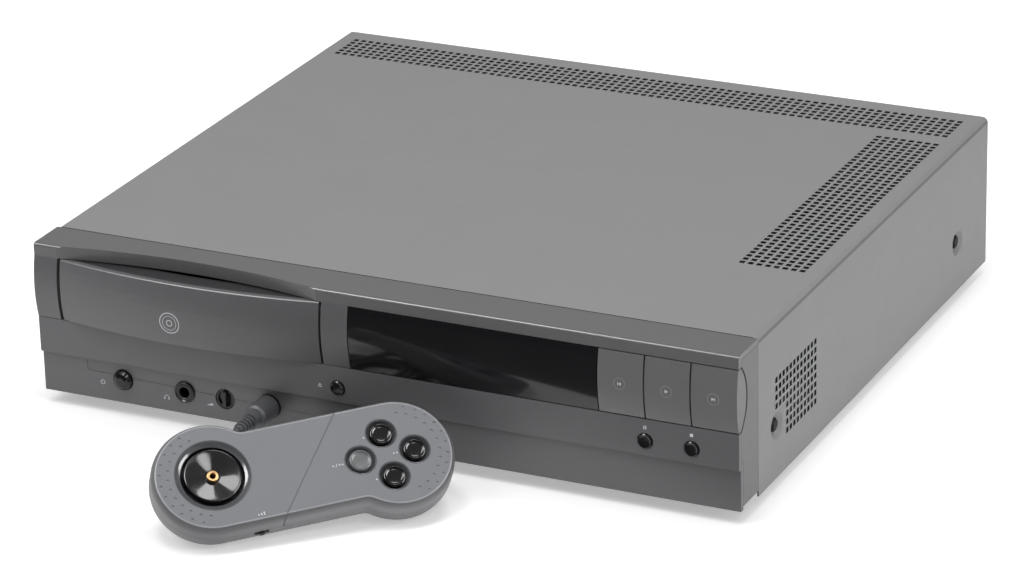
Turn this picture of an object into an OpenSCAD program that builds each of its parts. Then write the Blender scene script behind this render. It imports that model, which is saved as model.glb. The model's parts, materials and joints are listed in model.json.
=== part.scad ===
// Disc player console with a wired hand controller.
// X runs to the right along the front, Y to the rear and Z up from the table.
// Inside the modules Y is measured from the front plane of the fascia.

/* [Case] */
// Width of the case
case_w = 420; // [416:1:424]
// Height of the cover's top above the table
case_top = 97; // [96.5:0.1:97.5]
// Y of the cover's front edge
cover_front = 26; // [26:0.1:26.5]
// Y of the cover's rear edge
cover_rear = 377.5; // [377:0.5:380]
// Height of the feet
foot_h = 8; // [8:0.1:8.2]
// Thickness of the folded steel sheet
sheet = 1.2; // [0.8:0.1:1.4]

/* [Fascia] */
// Height of the lower edge of the middle band
band_z0 = 53.3; // [53:0.1:53.6]
// Height of the upper edge of the middle band
band_z1 = 89.6; // [89.3:0.1:89.9]
// How far the middle band bulges forward
band_bulge = 2.2; // [1.5:0.1:2.6]
// How far the drawer's front bows forward in plan
drawer_bow = 8; // [6:0.5:9]
// Thickness of the moulded front panel
panel_t = 3.3; // [3:0.1:3.4]

/* [Drawer] */
// Travel of the drawer
drawer_travel = 150; // [120:5:150]
// Radius of the disc recess
disc_recess_r = 61.5; // [61:0.5:63]

/* [Controller] */
// Radius of each end lobe at the top face
lobe_r = 29.1; // [28.5:0.1:30]
// Distance between the two lobe centres
lobe_span = 99; // [97:0.5:100]
// Tilt of the controller's face from flat
pad_tilt = 40.25; // [40:0.05:41]
// Turn of the controller about the vertical
pad_turn = 40; // [39.8:0.1:40.5]

/* [Cord] */
// Diameter of the controller's cord
cord_d = 4; // [3.6:0.1:4]

/* [Hidden] */
$fn = 72;
// A little more than a surface, so that cuts break through
eps = 0.1;
// Y of the front plane in the part's own frame, which has its origin under the middle
origin_y = 118.95;

// Case
half_w = case_w / 2;
cover_z0 = 6.5;
bend_r = 3.5;
pan_half_w = half_w - 4;
pan_front = 27;
rear_y = 369;
pan_top = foot_h + sheet;
flange_top = 46;
screw_y = [51.2, 328];
screw_z = 37;
screw_head_r = 4;
dimple_r = 8.5;
dimple_depth = 2.6;
foot_r = 18;
foot_at = [[-170, 62], [170, 62], [-170, 335], [170, 335]];

// Vent fields, as lowest corner, highest corner and openings each way:
// X and Y on the top, Y and Z on the side
vent_share = 0.63;
top_vents = [[[-200, 336.5], [200, 366.5], [12, 3]], [[160, 116.5], [200, 326.5], [4, 12]]];
side_vents = [[[48.5, 45.7], [108.5, 65.7], [12, 4]], [[63.5, 25.7], [108.5, 45.7], [9, 4]]];

// Fascia
cap_z = 93.7;
cap_lip = 3.3;
cap_round = 1.6;
step_z = 32;
step_y = 2.2;
panel_z0 = foot_h;
frame_rear = 25.8;
bulkhead_y = [14, 16.4];
cheek_t = 2.7;
band_mid = (band_z0 + band_z1) / 2;
band_half = (band_z1 - band_z0) / 2;
band_r = (pow(band_half, 2) + pow(band_bulge, 2)) / (2 * band_bulge);
drawer_x = [-193.5, -32.9];
drawer_gap_x = [-195.5, -31.5];
pillar_x = [-31.5, -15.6];
window_x = [-15, 130.6];
key_edges = [131.2, 157.4, 183.6, 210.3];
key_gap = 0.9;
key_back = 10.4;
key_back_r = 25.7;
key_travel = 0.8;
key_stem = 5;
window_t = 2.8;
drawer_mid = (drawer_x[0] + drawer_x[1]) / 2;
drawer_half = (drawer_x[1] - drawer_x[0]) / 2;
drawer_r = (pow(drawer_half, 2) + pow(drawer_bow, 2)) / (2 * drawer_bow);
drawer_back = 9.5;
scoop_sag = 8.3;
scoop_half = 80.5;
scoop_r = (pow(scoop_half, 2) + pow(scoop_sag, 2)) / (2 * scoop_sag);

// Controls on the front, as [x, z]
open_at = [-23.8, 40.3];
pause_at = [156.9, 40.4];
stop_at = [183.3, 40.4];
power_at = [-159.2, 21.8];
phones_at = [-120.3, 21];
volume_at = [-95.2, 20.9];
port_at = [-67.8, 21.4];
round_r = 4.3;
round_hole_r = 4.6;
stem_r = 2;
stem_hole_r = 2.3;
stem_end = 21;
power_r = 5.7;
power_hole_r = 6.1;
phones_r = 6.2;
jack_bore_r = 3.2;
volume_r = 5.6;
volume_hole_r = 6;
port_r = 7;
board_y = [23, 24.6];

// Drawer mechanism
disc_at = [-113, 82];
tray_x = [-185, -41];
tray_y = [drawer_back, 215];
tray_z = [62, 69];
deck_z = [45, 48];
deck_x = [-196, -30];
deck_y = [28, 226];
rail_top = tray_z[0] - 0.3;
slot_half = 22;
rack_x = -178;
gear_m = 1.25;
gear_n = 20;
gear_at = [rack_x + gear_m * gear_n / 2, 48];
pulley_r = 15;
motor_pulley_r = 4;
motor_at = [-128, 48];
belt_gap = 0.3;
belt_t = 1.4;
sled_m = 1;
sled_n = 16;
sled_rack_x = -83;
sled_gear_at = [sled_rack_x + sled_m * sled_n / 2, 129];
rod_x = [-135, -91];
rod_z = 53.5;
rod_r = 1.5;
run_gap = 0.05;
flank_gap = 0.12;
bridge_z = [78, 80.5];

// Controller, in its own frame from the thumb disc: X along its length, Y up its face, Z out of its face
pad_at = [-38.1, -113, 35];
lobe_at = [-1.1, -0.6];
edge_slope = 4.8;
neck_r = 9;
pad_split = 10.2;
shoulder_r = 7.5;
pad_side = shoulder_r * (1 - sin(45));
belly_r = 10;
belly_z = 14.2;
belly_end = 75;
well_r = 19.4;
well_hole_r = 16.9;
thumb_r = 15.2;
pivot_z = -10;
pad_top_t = 2.6;
pad_floor = 21;
button_r = 6;
button_hole_r = 6.4;
button_well_r = 7.8;
north_at = [91.7, 11.3];
east_at = [107.6, 0];
south_at = [94.1, -13.7];
west_at = [78.1, -2.3];
switch_along = 20;
switch_z = -12.6;
boss_at = [[-21.2, -0.6], [118, -0.6], [33, 12.9], [46, -15]];
boss_head = 1.3;

// Cord: routes in the front-plane frame, each point chosen by hand
plug_end = -34;
lead_route = [
  [-67.8, -34, 21.4], [-67.8, -38, 21.4], [-67.8, -46, 19.5], [-67.6, -54, 14.5],
  [-67, -61, 8], [-65.5, -67, 3.6], [-62, -72.5, 2.1], [-56.5, -76, 2.1],
  [-50, -76, 2.1], [-43, -72.5, 2.1], [-38, -66.5, 2.1], [-33, -64.5, 2.1],
  [-29, -64.5, 2.1]];
tail_route = [
  [-29, -9.5, 17.1], [-33, -9.5, 17.1], [-38.5, -11.5, 18], [-43, -15.5, 19.6],
  [-45.6, -21, 21.2], [-45, -27, 22.4], [-41.2, -33, 23], [-35.8, -39.4, 24],
  [-30.75, -45.9, 25.8], [-27.75, -49.5, 27.55]];
tail_end = tail_route[len(tail_route) - 1];
relief_root = [-20.6, -58.15, 31.8];
coil_at = [-25, -37];
coil_out_r = 27.5;
coil_pitch = 5;
coil_lift = 5;
coil_layers = 4;
coil_turns = 10.5;
coil_z = 2.1;
coil_rings = 24;
coil_sides = 6;

// Colours as the photo shows them
steel_grey = [0.55, 0.55, 0.55];
front_grey = [0.35, 0.36, 0.37];
dark = [0.1, 0.1, 0.11];
pad_grey = [0.5, 0.51, 0.52];
inner_plastic = [0.22, 0.22, 0.24];
board_green = [0.12, 0.32, 0.2];
bright_metal = [0.75, 0.76, 0.78];
brass = [0.78, 0.62, 0.4];

// Placing and drawing helpers

module from_front() {
  translate([0, -origin_y, 0]) children();
}

module on_pad() {
  from_front() translate(pad_at) rotate([pad_tilt, 0, pad_turn]) children();
}

module block(lo, hi) {
  translate(lo) cube(hi - lo);
}

module rod_y(at, r, y0, y1) {
  translate([at[0], y0, at[1]]) rotate([-90, 0, 0]) cylinder(r=r, h=y1 - y0);
}

module rod_z(at, r, z0, z1) {
  translate([at[0], at[1], z0]) cylinder(r=r, h=z1 - z0);
}

// A section drawn in Y and Z, drawn out along X
module along_x(x0, x1) {
  translate([x0, 0, 0]) rotate([90, 0, 90]) linear_extrude(x1 - x0) children();
}

// A profile of [radius, height] points turned about an axis that runs back along Y
module turned_y(at, profile) {
  translate([at[0], 0, at[1]]) rotate([-90, 0, 0]) rotate_extrude() polygon(profile);
}

function arc_points(centre, r, a0, a1, n) =
  [for (i = [0:n]) let (a = a0 + (a1 - a0) * i / n) centre + r * [cos(a), sin(a)]];

// The rounded front of the middle band between two X values and back to a plane
module band_part(x0, x1, back, r=band_r, z0=band_z0, z1=band_z1) {
  intersection() {
    translate([x0, band_r - band_bulge, band_mid]) rotate([0, 90, 0]) cylinder(r=r, h=x1 - x0, $fn=180);
    block([x0 - eps, -band_bulge - 1, z0], [x1 + eps, back, z1]);
  }
}

// Gears and racks

function involute_turn(r, base_r) =
  sqrt(max(0, pow(r / base_r, 2) - 1)) * 180 / PI - acos(min(1, base_r / r));

function tooth_half(r, m, n) =
  let (pitch_r = m * n / 2, base_r = pitch_r * cos(20))
  90 / n - flank_gap / pitch_r * 180 / PI
    + involute_turn(pitch_r, base_r) - involute_turn(max(r, base_r), base_r);

function gear_outline(m, n) =
  let (
    pitch_r = m * n / 2,
    root_r = pitch_r - 1.25 * m,
    tip_r = pitch_r + 0.9 * m,
    radii = [for (i = [0:4]) root_r + (tip_r - root_r) * i / 4])
  [for (k = [0:n - 1], side = [-1, 1], i = [0:4])
    let (
      r = radii[side < 0 ? i : 4 - i],
      a = 360 * k / n + side * tooth_half(r, m, n))
    r * [cos(a), sin(a)]];

// Rack along Y whose teeth point to +X, with a gap between teeth at y = gap_y
module rack(m, x_pitch, x_back, gap_y, first, last, z0, z1) {
  step = PI * m;
  half = step / 4 - flank_gap;
  lean = tan(20);
  root_x = x_pitch - 1.25 * m;
  tip_x = x_pitch + 0.9 * m;
  y_of = [for (k = [first:last]) gap_y + (k + 0.5) * step];
  teeth = [for (y = y_of) each [
    [root_x, y - half - 1.25 * m * lean], [tip_x, y - half + 0.9 * m * lean],
    [tip_x, y + half - 0.9 * m * lean], [root_x, y + half + 1.25 * m * lean]]];
  y0 = y_of[0] - step / 2;
  y1 = y_of[len(y_of) - 1] + step / 2;
  translate([0, 0, z0]) linear_extrude(z1 - z0)
    polygon(concat([[x_back, y1], [x_back, y0], [root_x, y0]], teeth, [[root_x, y1]]));
}

// Case

cover_profile = concat(
  [[half_w, cover_z0]],
  arc_points([half_w - bend_r, case_top - bend_r], bend_r, 0, 90, 6),
  arc_points([-half_w + bend_r, case_top - bend_r], bend_r, 90, 180, 6),
  [[-half_w, cover_z0], [-half_w + sheet, cover_z0]],
  arc_points([-half_w + bend_r, case_top - bend_r], bend_r - sheet, 180, 90, 6),
  arc_points([half_w - bend_r, case_top - bend_r], bend_r - sheet, 90, 0, 6),
  [[half_w - sheet, cover_z0]]);

// Pressed cone that sinks a screw head into the cover's side
module screw_dimple(side, y) {
  floor_r = screw_head_r + 1;
  translate([side * half_w, y, screw_z]) rotate([0, -90 * side, 0])
    rotate_extrude() polygon([
      [dimple_r, 0], [dimple_r + sheet, 0], [dimple_r + sheet, sheet],
      [floor_r + sheet, dimple_depth + sheet],
      [2.2, dimple_depth + sheet], [2.2, dimple_depth], [floor_r, dimple_depth]]);
}

// Square openings over a field given as its lowest corner, highest corner and count each way
module vent_grid(field, depth) {
  pitch = [for (k = [0, 1]) (field[1][k] - field[0][k]) / field[2][k]];
  hole = vent_share * pitch;
  for (i = [0:field[2][0] - 1], j = [0:field[2][1] - 1])
    translate([field[0][0] + (i + 0.5) * pitch[0] - hole[0] / 2,
               field[0][1] + (j + 0.5) * pitch[1] - hole[1] / 2, 0])
      cube([hole[0], hole[1], depth]);
}

module top_cover() {
  color(steel_grey) from_front() union() {
    difference() {
      translate([0, cover_rear, 0]) rotate([90, 0, 0])
        linear_extrude(cover_rear - cover_front) polygon(cover_profile);
      for (side = [-1, 1], y = screw_y)
        translate([side * half_w, y, screw_z]) rotate([0, 90, 0])
          cylinder(r=dimple_r + sheet / 2, h=4 * sheet, center=true);
      for (field = top_vents)
        translate([0, 0, case_top - 2 * sheet]) vent_grid(field, 3 * sheet);
      for (field = side_vents)
        translate([half_w - 2 * sheet, 0, 0]) rotate([90, 0, 90]) vent_grid(field, 3 * sheet);
    }
    for (side = [-1, 1], y = screw_y) screw_dimple(side, y);
  }
}

module chassis_pan() {
  color(bright_metal) from_front() difference() {
    union() {
      block([-pan_half_w, pan_front, foot_h], [pan_half_w, rear_y, pan_top]);
      for (side = [-1, 1])
        block([min(side * pan_half_w, side * (pan_half_w - sheet)), pan_front, foot_h],
              [max(side * pan_half_w, side * (pan_half_w - sheet)), rear_y, flange_top]);
      for (at = [[12, 60], [183, 60], [12, 345], [183, 345]]) rod_z(at, 3.5, foot_h, 22);
      for (at = [[-190, 246], [-70, 246], [-190, 294], [-70, 294]]) rod_z(at, 3.5, foot_h, 20);
    }
    for (y = screw_y)
      translate([0, y, screw_z]) rotate([0, 90, 0]) cylinder(r=2, h=case_w, center=true);
  }
}

module rear_panel() {
  color(steel_grey) from_front() difference() {
    block([-pan_half_w, rear_y, foot_h], [pan_half_w, rear_y + sheet, case_top - sheet - 0.3]);
    for (x = socket_x) rod_y([x, socket_z], 5.2, rear_y - 1, rear_y + 3);
    block([inlet_x[0] - 0.2, rear_y - 1, inlet_z[0] - 0.2], [inlet_x[1] + 0.2, rear_y + 3, inlet_z[1] + 0.2]);
  }
}

module feet() {
  color(dark) from_front()
    for (at = foot_at)
      translate([at[0], at[1], 0])
        rotate_extrude() polygon([[0, 0], [foot_r - 2, 0], [foot_r, 1.5], [foot_r, foot_h], [0, foot_h]]);
}

module case_screws() {
  color(dark) from_front()
    for (side = [-1, 1], y = screw_y)
      translate([side * (half_w - dimple_depth), y, screw_z]) rotate([0, 90 * side, 0])
        rotate_extrude() polygon([
          [0, -6], [1.9, -6], [1.9, 0], [screw_head_r, 0], [screw_head_r, 1],
          [screw_head_r - 1.2, 2], [0, 2]]);
}

// Fascia

module cheek(side) {
  x0 = side > 0 ? half_w - cheek_t : -half_w;
  along_x(x0, x0 + cheek_t)
    polygon([[panel_t + 0.2, 36.2], [panel_t + 0.2, cap_z - 0.2], [frame_rear, cap_z - 0.2],
             [frame_rear, 10], [step_y + panel_t + 0.2, 10], [step_y + panel_t + 0.2, 36.2]]);
}

module window_rim() {
  rim = 4;
  difference() {
    band_part(window_x[0], window_x[1], bulkhead_y[0] + eps, band_r - window_t - 0.05,
              band_z0 + 0.3, band_z1 - 0.3);
    block([window_x[0] + rim, -5, band_z0 + rim], [window_x[1] - rim, 20, band_z1 - rim]);
  }
}

module fascia_frame() {
  stem_gap = key_stem / 2 + 0.4;
  color(front_grey) from_front() difference() {
    union() {
      cheek(1);
      cheek(-1);
      block([-half_w + 1, 8, 10], [half_w - 1, frame_rear, 12]);
      block([-half_w + 1, bulkhead_y[0], 11], [half_w - 1, bulkhead_y[1], cap_z - 0.2]);
      band_part(-half_w, drawer_gap_x[0], bulkhead_y[0] + eps);
      band_part(pillar_x[0], pillar_x[1], bulkhead_y[0] + eps);
      window_rim();
    }
    block([drawer_gap_x[0], 10, band_z0 - 0.6], [drawer_gap_x[1], 20, cap_z - 1.5]);
    block([window_x[0] + 4, 10, band_z0 + 4], [window_x[1] - 4, 20, band_z1 - 4]);
    for (k = [0:2])
      let (x = key_mid(k))
      block([x - stem_gap, 10, band_mid - stem_gap], [x + stem_gap, 20, band_mid + stem_gap]);
    for (at = [open_at, pause_at, stop_at]) rod_y(at, stem_hole_r, 10, 20);
    block([-178, 10, 13.5], [-50, 20, 34]);
    translate([half_w - 6, key_back - key_back_r + key_travel + 0.4, band_mid]) rotate([0, 90, 0])
      intersection() {
        cylinder(r=key_back_r, h=10);
        translate([-band_half - 0.3, -5, -1]) cube([2 * band_half + 0.6, 60, 12]);
      }
  }
}

module fascia_cap() {
  profile = concat(
    [[0, band_z1]],
    arc_points([cap_round, case_top - 0.2 - cap_round], cap_round, 180, 90, 5),
    [[cover_front - 0.2, case_top - 0.2], [cover_front - 0.2, cap_z], [cap_lip, cap_z], [cap_lip, band_z1]]);
  scoop_x = drawer_mid - 2;
  color(front_grey) from_front() difference() {
    union() {
      along_x(-half_w, half_w) polygon(profile);
      intersection() {
        translate([scoop_x, scoop_sag - scoop_r, band_z1])
          cylinder(r=scoop_r + cap_lip, h=cap_z + 1 - band_z1, $fn=180);
        block([scoop_x - scoop_half, 0.5, band_z1 - 1], [scoop_x + scoop_half, 20, cap_z + 2]);
      }
    }
    translate([scoop_x, scoop_sag - scoop_r, band_z1 - 1]) cylinder(r=scoop_r, h=20, $fn=180);
  }
}

// Holes and shallow recesses of the lower panel
module panel_cuts() {
  for (at = [open_at, pause_at, stop_at]) {
    rod_y(at, round_hole_r, -1, 8);
    rod_y(at, 6.4, panel_t, 8);
  }
  rod_y(power_at, power_hole_r, -1, 8);
  rod_y(phones_at, phones_r + 0.1, -1, 8);
  rod_y(volume_at, volume_hole_r, -1, 8);
  rod_y(port_at, port_r + 0.1, -1, 8);
  translate([0, step_y + 0.25, 0]) rotate([90, 0, 0]) linear_extrude(5)
    polygon([[-181.8, step_z], [-181.8, 24.4], [-43.3, 20.4], [-43.3, step_z]]);
}

module fascia_panel() {
  profile = [
    [0, band_z0 - 0.3], [0, step_z + 0.4], [0.4, step_z], [step_y, step_z], [step_y, panel_z0],
    [step_y + panel_t, panel_z0], [step_y + panel_t, 36], [panel_t, 36], [panel_t, band_z0 - 0.3]];
  color(front_grey) from_front() difference() {
    along_x(-half_w, half_w) polygon(profile);
    panel_cuts();
  }
}

module display_window() {
  color(dark) from_front() difference() {
    band_part(window_x[0], window_x[1], 6, band_r, band_z0 + 0.3, band_z1 - 0.3);
    translate([window_x[0] - 1, band_r - band_bulge, band_mid]) rotate([0, 90, 0])
      cylinder(r=band_r - window_t, h=window_x[1] - window_x[0] + 2, $fn=180);
  }
}

module display_module() {
  color(inner_plastic) from_front() union() {
    block([-9, 9, 59], [124, 12, 84]);
    block([-6, 12, 61], [121, board_y[0], 82]);
  }
}

// Board behind the front, with a tact switch behind each key and button
module front_board() {
  color(board_green) from_front() union() {
    difference() {
      translate([0, board_y[1], 0]) rotate([90, 0, 0]) linear_extrude(board_y[1] - board_y[0])
        polygon([[-175, 14], [206, 14], [206, 88], [-14, 88], [-14, 50], [-175, 50]]);
      rod_y(power_at, 3, 20, 30);
    }
    for (k = [0:2])
      let (x = key_mid(k))
      block([x - 3, board_y[0] - 0.7, band_mid - 3], [x + 3, board_y[0] + 0.1, band_mid + 3]);
    for (at = [open_at, pause_at, stop_at])
      block([at[0] - 3, board_y[0] - 0.7, at[1] - 3], [at[0] + 3, board_y[0] + 0.1, at[1] + 3]);
  }
}

module phones_jack() {
  color(dark) from_front() difference() {
    union() {
      rod_y(phones_at, phones_r, step_y - 0.8, 8);
      block([phones_at[0] - 8, 6, 13.8], [phones_at[0] + 8, board_y[0], 29]);
    }
    rod_y(phones_at, jack_bore_r, 0, 21);
  }
}

module controller_socket() {
  color(dark) from_front() difference() {
    union() {
      rod_y(port_at, port_r, step_y - 0.6, 8);
      block([port_at[0] - 8.5, 6, 13.8], [port_at[0] + 8.5, board_y[0], 30]);
    }
    rod_y(port_at, 4.5, 0, 16);
  }
}

module volume_pot() {
  color(bright_metal) from_front() difference() {
    block([volume_at[0] - 8, 14, 13.8], [volume_at[0] + 8, board_y[0], 29]);
    rod_y(volume_at, 3 + run_gap, 13, 20.5);
  }
}

module power_switch() {
  color(inner_plastic) from_front() difference() {
    block([power_at[0] - 8, 30, pan_top], [power_at[0] + 8, 48, 31]);
    rod_y(power_at, stem_r + run_gap, 29, 42);
  }
}

// Wide keys: a lens section with a stem that reaches the board

function key_mid(k) = (key_edges[k] + key_edges[k + 1]) / 2;

module wide_key(k) {
  x0 = key_edges[k] + (k == 0 ? 0 : key_gap / 2);
  x1 = key_edges[k + 1] - key_gap / 2;
  x = key_mid(k);
  color(front_grey) from_front() union() {
    intersection() {
      band_part(x0, x1, 12, band_r, band_z0 + 0.35, band_z1 - 0.55);
      translate([x0 - 1, key_back - key_back_r, band_mid]) rotate([0, 90, 0])
        cylinder(r=key_back_r, h=x1 - x0 + 2);
    }
    block([x - key_stem / 2, 8, band_mid - key_stem / 2],
          [x + key_stem / 2, stem_end, band_mid + key_stem / 2]);
  }
}

module previous_key() {
  wide_key(0);
}

module play_key() {
  wide_key(1);
}

module next_key() {
  wide_key(2);
}

// Round buttons: dished cap, retaining collar and stem
module round_button(at) {
  color(front_grey) from_front()
    turned_y(at, [[0, -0.3], [2.6, -0.5], [3.6, -0.9], [round_r, -0.4],
                  [round_r, panel_t + 0.4], [5.6, panel_t + 0.4],
                  [5.6, 4.9], [stem_r, 4.9], [stem_r, stem_end], [0, stem_end]]);
}

module open_button() {
  round_button(open_at);
}

module pause_button() {
  round_button(pause_at);
}

module stop_button() {
  round_button(stop_at);
}

module power_button() {
  color(front_grey) from_front()
    turned_y(power_at, [[0, -2], [2.6, -1.8], [4.6, -1], [power_r, 0.6], [power_r, 9], [7.2, 9], [7.2, 10.5],
                        [stem_r, 10.5], [stem_r, 36], [0, 36]]);
}

module volume_knob() {
  color(dark) from_front() union() {
    turned_y(volume_at, [[0, 4], [volume_r - 1, 4], [volume_r - 1, 2.8], [volume_r, 2.8], [volume_r, 10],
                         [3, 10], [3, 19.5], [0, 19.5]]);
    block([volume_at[0] - 1.1, 1, volume_at[1] - 4.5], [volume_at[0] + 1.1, 4.5, volume_at[1] + 4.5]);
  }
}

// Drawer

module drawer_front() {
  z0 = band_z0 + 0.2;
  z1 = band_z1 - 0.3;
  rim_r = 1.2;
  steps = 8;
  front = [for (i = [0:steps])
    let (z = z0 + (z1 - rim_r - z0) * i / steps)
    [drawer_r + band_bulge - pow((z - band_mid) / band_half, 2) * band_bulge, z]];
  rim_at = [front[steps][0] - rim_r, z1 - rim_r];
  recess = [[drawer_r - 3.2, z1], [drawer_r - 12, z1 - 5], [drawer_r - 30, z1 - 5]];
  profile = concat([[drawer_r - 30, z0]], front, arc_points(rim_at, rim_r, 30, 90, 2), recess);
  color(front_grey) from_front() intersection() {
    translate([drawer_mid, drawer_r - drawer_bow, 0]) rotate([0, 0, 250]) rotate_extrude(angle=40, $fn=720)
      polygon(profile);
    block([drawer_x[0], -30, band_z0 - 5], [drawer_x[1], drawer_back, band_z1 + 5]);
  }
}

module disc_tray() {
  color(inner_plastic) from_front() union() {
    difference() {
      block([tray_x[0], tray_y[0], tray_z[0]], [tray_x[1], tray_y[1], tray_z[1]]);
      rod_z(disc_at, disc_recess_r, 65, 75);
      rod_z(disc_at, 41.5, 63.8, 75);
      block([disc_at[0] - slot_half, disc_at[1] - slot_half, 50], [disc_at[0] + slot_half, 230, 80]);
    }
    rack(gear_m, rack_x, -183.8, gear_at[1], -5, 40, 56, tray_z[0] + eps);
  }
}

module mechanism_deck() {
  color(inner_plastic) from_front() difference() {
    union() {
      block([deck_x[0], deck_y[0], deck_z[0]], [deck_x[1], deck_y[1], deck_z[1]]);
      for (x = [deck_x[0], deck_x[1] - 9], y = [deck_y[0] + 2, deck_y[1] - 11])
        block([x, y, pan_top], [x + 9, y + 9, deck_z[0] + eps]);
      block([-190, deck_y[0], deck_z[1] - eps], [-184.4, deck_y[1], rail_top]);
      block([-190, deck_y[0], rail_top - eps], [-185.6, deck_y[1], 72]);
      block([-48, deck_y[0], deck_z[1] - eps], [-36, deck_y[1], rail_top]);
      block([-40.4, deck_y[0], rail_top - eps], [-36, deck_y[1], 72]);
      rod_z(gear_at, 2.5, deck_z[1] - eps, 60.5);
    }
    rod_z(disc_at, 4, 40, 50);
    rod_z(motor_at, 3, 40, 50);
    rod_z(sled_gear_at, 3, 40, 50);
  }
}

module clamp_bridge() {
  color(bright_metal) from_front() difference() {
    union() {
      block([deck_x[0], 72, bridge_z[0]], [deck_x[1], 92, bridge_z[1]]);
      rod_z(disc_at, 22, bridge_z[0], bridge_z[1]);
      block([deck_x[0], 72, deck_z[1]], [deck_x[0] + 3, 92, bridge_z[1]]);
      block([deck_x[1] - 3, 72, deck_z[1]], [deck_x[1], 92, bridge_z[1]]);
    }
    rod_z(disc_at, 10, 70, 90);
  }
}

module clamp_puck() {
  color(dark) from_front() translate([disc_at[0], disc_at[1], 0])
    rotate_extrude() polygon([[0, 70], [15, 70], [15, 75], [8, 76.5],
                              [8, 81.2], [13, 81.2], [13, 83], [0, 83]]);
}

module loading_gear() {
  color(bright_metal) from_front() translate([gear_at[0], gear_at[1], 0]) difference() {
    union() {
      translate([0, 0, 55.5]) linear_extrude(5) polygon(gear_outline(gear_m, gear_n));
      rotate_extrude() polygon([[0, 49], [pulley_r + 1.6, 49], [pulley_r, 50.6], [pulley_r, 53.4],
                                [pulley_r + 1.6, 55], [9, 55], [9, 56], [0, 56]]);
    }
    translate([0, 0, 45]) cylinder(r=2.5 + run_gap, h=20);
  }
}

module motor_pulley() {
  color(bright_metal) from_front() translate([motor_at[0], motor_at[1], 0])
    rotate_extrude() polygon([[0, 38], [1.2, 38], [1.2, 49],
                              [motor_pulley_r + 1.6, 49], [motor_pulley_r, 50.6],
                              [motor_pulley_r, 53.4], [motor_pulley_r + 1.6, 55], [0, 55]]);
}

// Loop round both pulleys at a distance from their grooves
module belt_loop(gap) {
  span = motor_at[0] - gear_at[0];
  lean = acos((pulley_r - motor_pulley_r) / span);
  polygon(concat(
    arc_points(gear_at, pulley_r + gap, lean, 360 - lean, 24),
    arc_points(motor_at, motor_pulley_r + gap, -lean, lean, 12)));
}

module loading_belt() {
  color(dark) from_front() translate([0, 0, 51.2]) linear_extrude(1.6) difference() {
    belt_loop(belt_gap + belt_t);
    belt_loop(belt_gap);
  }
}

// Small can motor hung below the deck, open for a shaft
module can_motor(at, r, z0, shaft_r) {
  color(bright_metal) from_front() difference() {
    union() {
      rod_z(at, r, z0, deck_z[0]);
      rod_z(at, r / 2, z0 - 2, z0 + 1);
    }
    rod_z(at, shaft_r + run_gap, z0 + 4, 50);
  }
}

module loading_motor() {
  can_motor(motor_at, 12, 22, 1.2);
}

module spindle_motor() {
  can_motor(disc_at, 14, 26, 1.5);
}

module sled_motor() {
  can_motor(sled_gear_at, 11, 24, 1.5);
}

module turntable() {
  color(bright_metal) from_front() translate([disc_at[0], disc_at[1], 0])
    rotate_extrude() polygon([[0, 34], [1.5, 34], [1.5, 57], [15, 59], [15, 65.5], [7.4, 65.5], [7.2, 67.4],
                              [6, 68.4], [0, 68.4]]);
}

module laser_sled() {
  lens_at = [disc_at[0], disc_at[1] + 27];
  color(inner_plastic) from_front() difference() {
    union() {
      block([-139, 104, 49.5], [-87, 128, 57.5]);
      rod_z(lens_at, 8, 57, 58.5);
      rod_z(lens_at, 3.5, 58, 60.2);
      rack(sled_m, sled_rack_x, -86.8, sled_gear_at[1], -11, 0, 50, 54.5);
      block([-88, 106, 50], [-86, 126, 54.5]);
    }
    for (x = rod_x) rod_y([x, rod_z], rod_r + run_gap, 90, 140);
  }
}

module sled_rods() {
  color(bright_metal) from_front() for (x = rod_x) union() {
    rod_y([x, rod_z], rod_r, 98, 176);
    block([x - 3.5, 97.5, deck_z[1]], [x + 3.5, 101.5, 56.5]);
    block([x - 3.5, 172.5, deck_z[1]], [x + 3.5, 176.5, 56.5]);
  }
}

module sled_gear() {
  color(dark) from_front() translate([sled_gear_at[0], sled_gear_at[1], 0]) union() {
    translate([0, 0, 50]) linear_extrude(4.5) polygon(gear_outline(sled_m, sled_n));
    translate([0, 0, 36]) cylinder(r=1.5, h=16);
  }
}

// Electronics

main_board_x = [2, 193];
main_board_y = [48, 356];
chips = [[30, 90, 28, 28, 3], [80, 90, 34, 34, 3], [140, 100, 24, 24, 3], [40, 150, 36, 14, 4],
         [90, 150, 36, 14, 4], [140, 150, 36, 14, 4], [40, 200, 14, 30, 4], [70, 200, 14, 30, 4],
         [110, 210, 40, 40, 4], [165, 220, 18, 30, 5],
         [40, 270, 22, 22, 3], [90, 285, 30, 12, 4], [140, 290, 20, 20, 6]];

module main_board() {
  color(board_green) from_front() union() {
    block([main_board_x[0], main_board_y[0], 22], [main_board_x[1], main_board_y[1], 23.6]);
    for (c = chips) block([c[0], c[1], 23.5], [c[0] + c[2], c[1] + c[3], 23.6 + c[4]]);
  }
}

// Supply board with its smoothing capacitors and finned heat sink soldered on
module power_board() {
  color(board_green) from_front() union() {
    block([-198, 240, 20], [-62, 300, 21.6]);
    block([-100, 246, 21.5], [-84, 262, 36]);
    block([-80, 270, 21.5], [-66, 292, 33]);
    for (at = [[-180, 256], [-158, 256], [-136, 256]]) rod_z(at, 9, 21.5, 54);
    block([-188, 286, 21.5], [-110, 289, 60]);
    for (k = [0:9]) block([-187 + 8 * k, 277, 21.5], [-185 + 8 * k, 287, 60]);
  }
}

module power_transformer() {
  color(steel_grey) from_front() union() {
    block([-194, 309, pan_top], [-134, 343, 56]);
    block([-180, 302, 18], [-148, 350, 50]);
  }
}

socket_x = [70, 92, 114];
socket_z = 40;
inlet_x = [-178, -152];
inlet_z = [30, 50];

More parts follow.
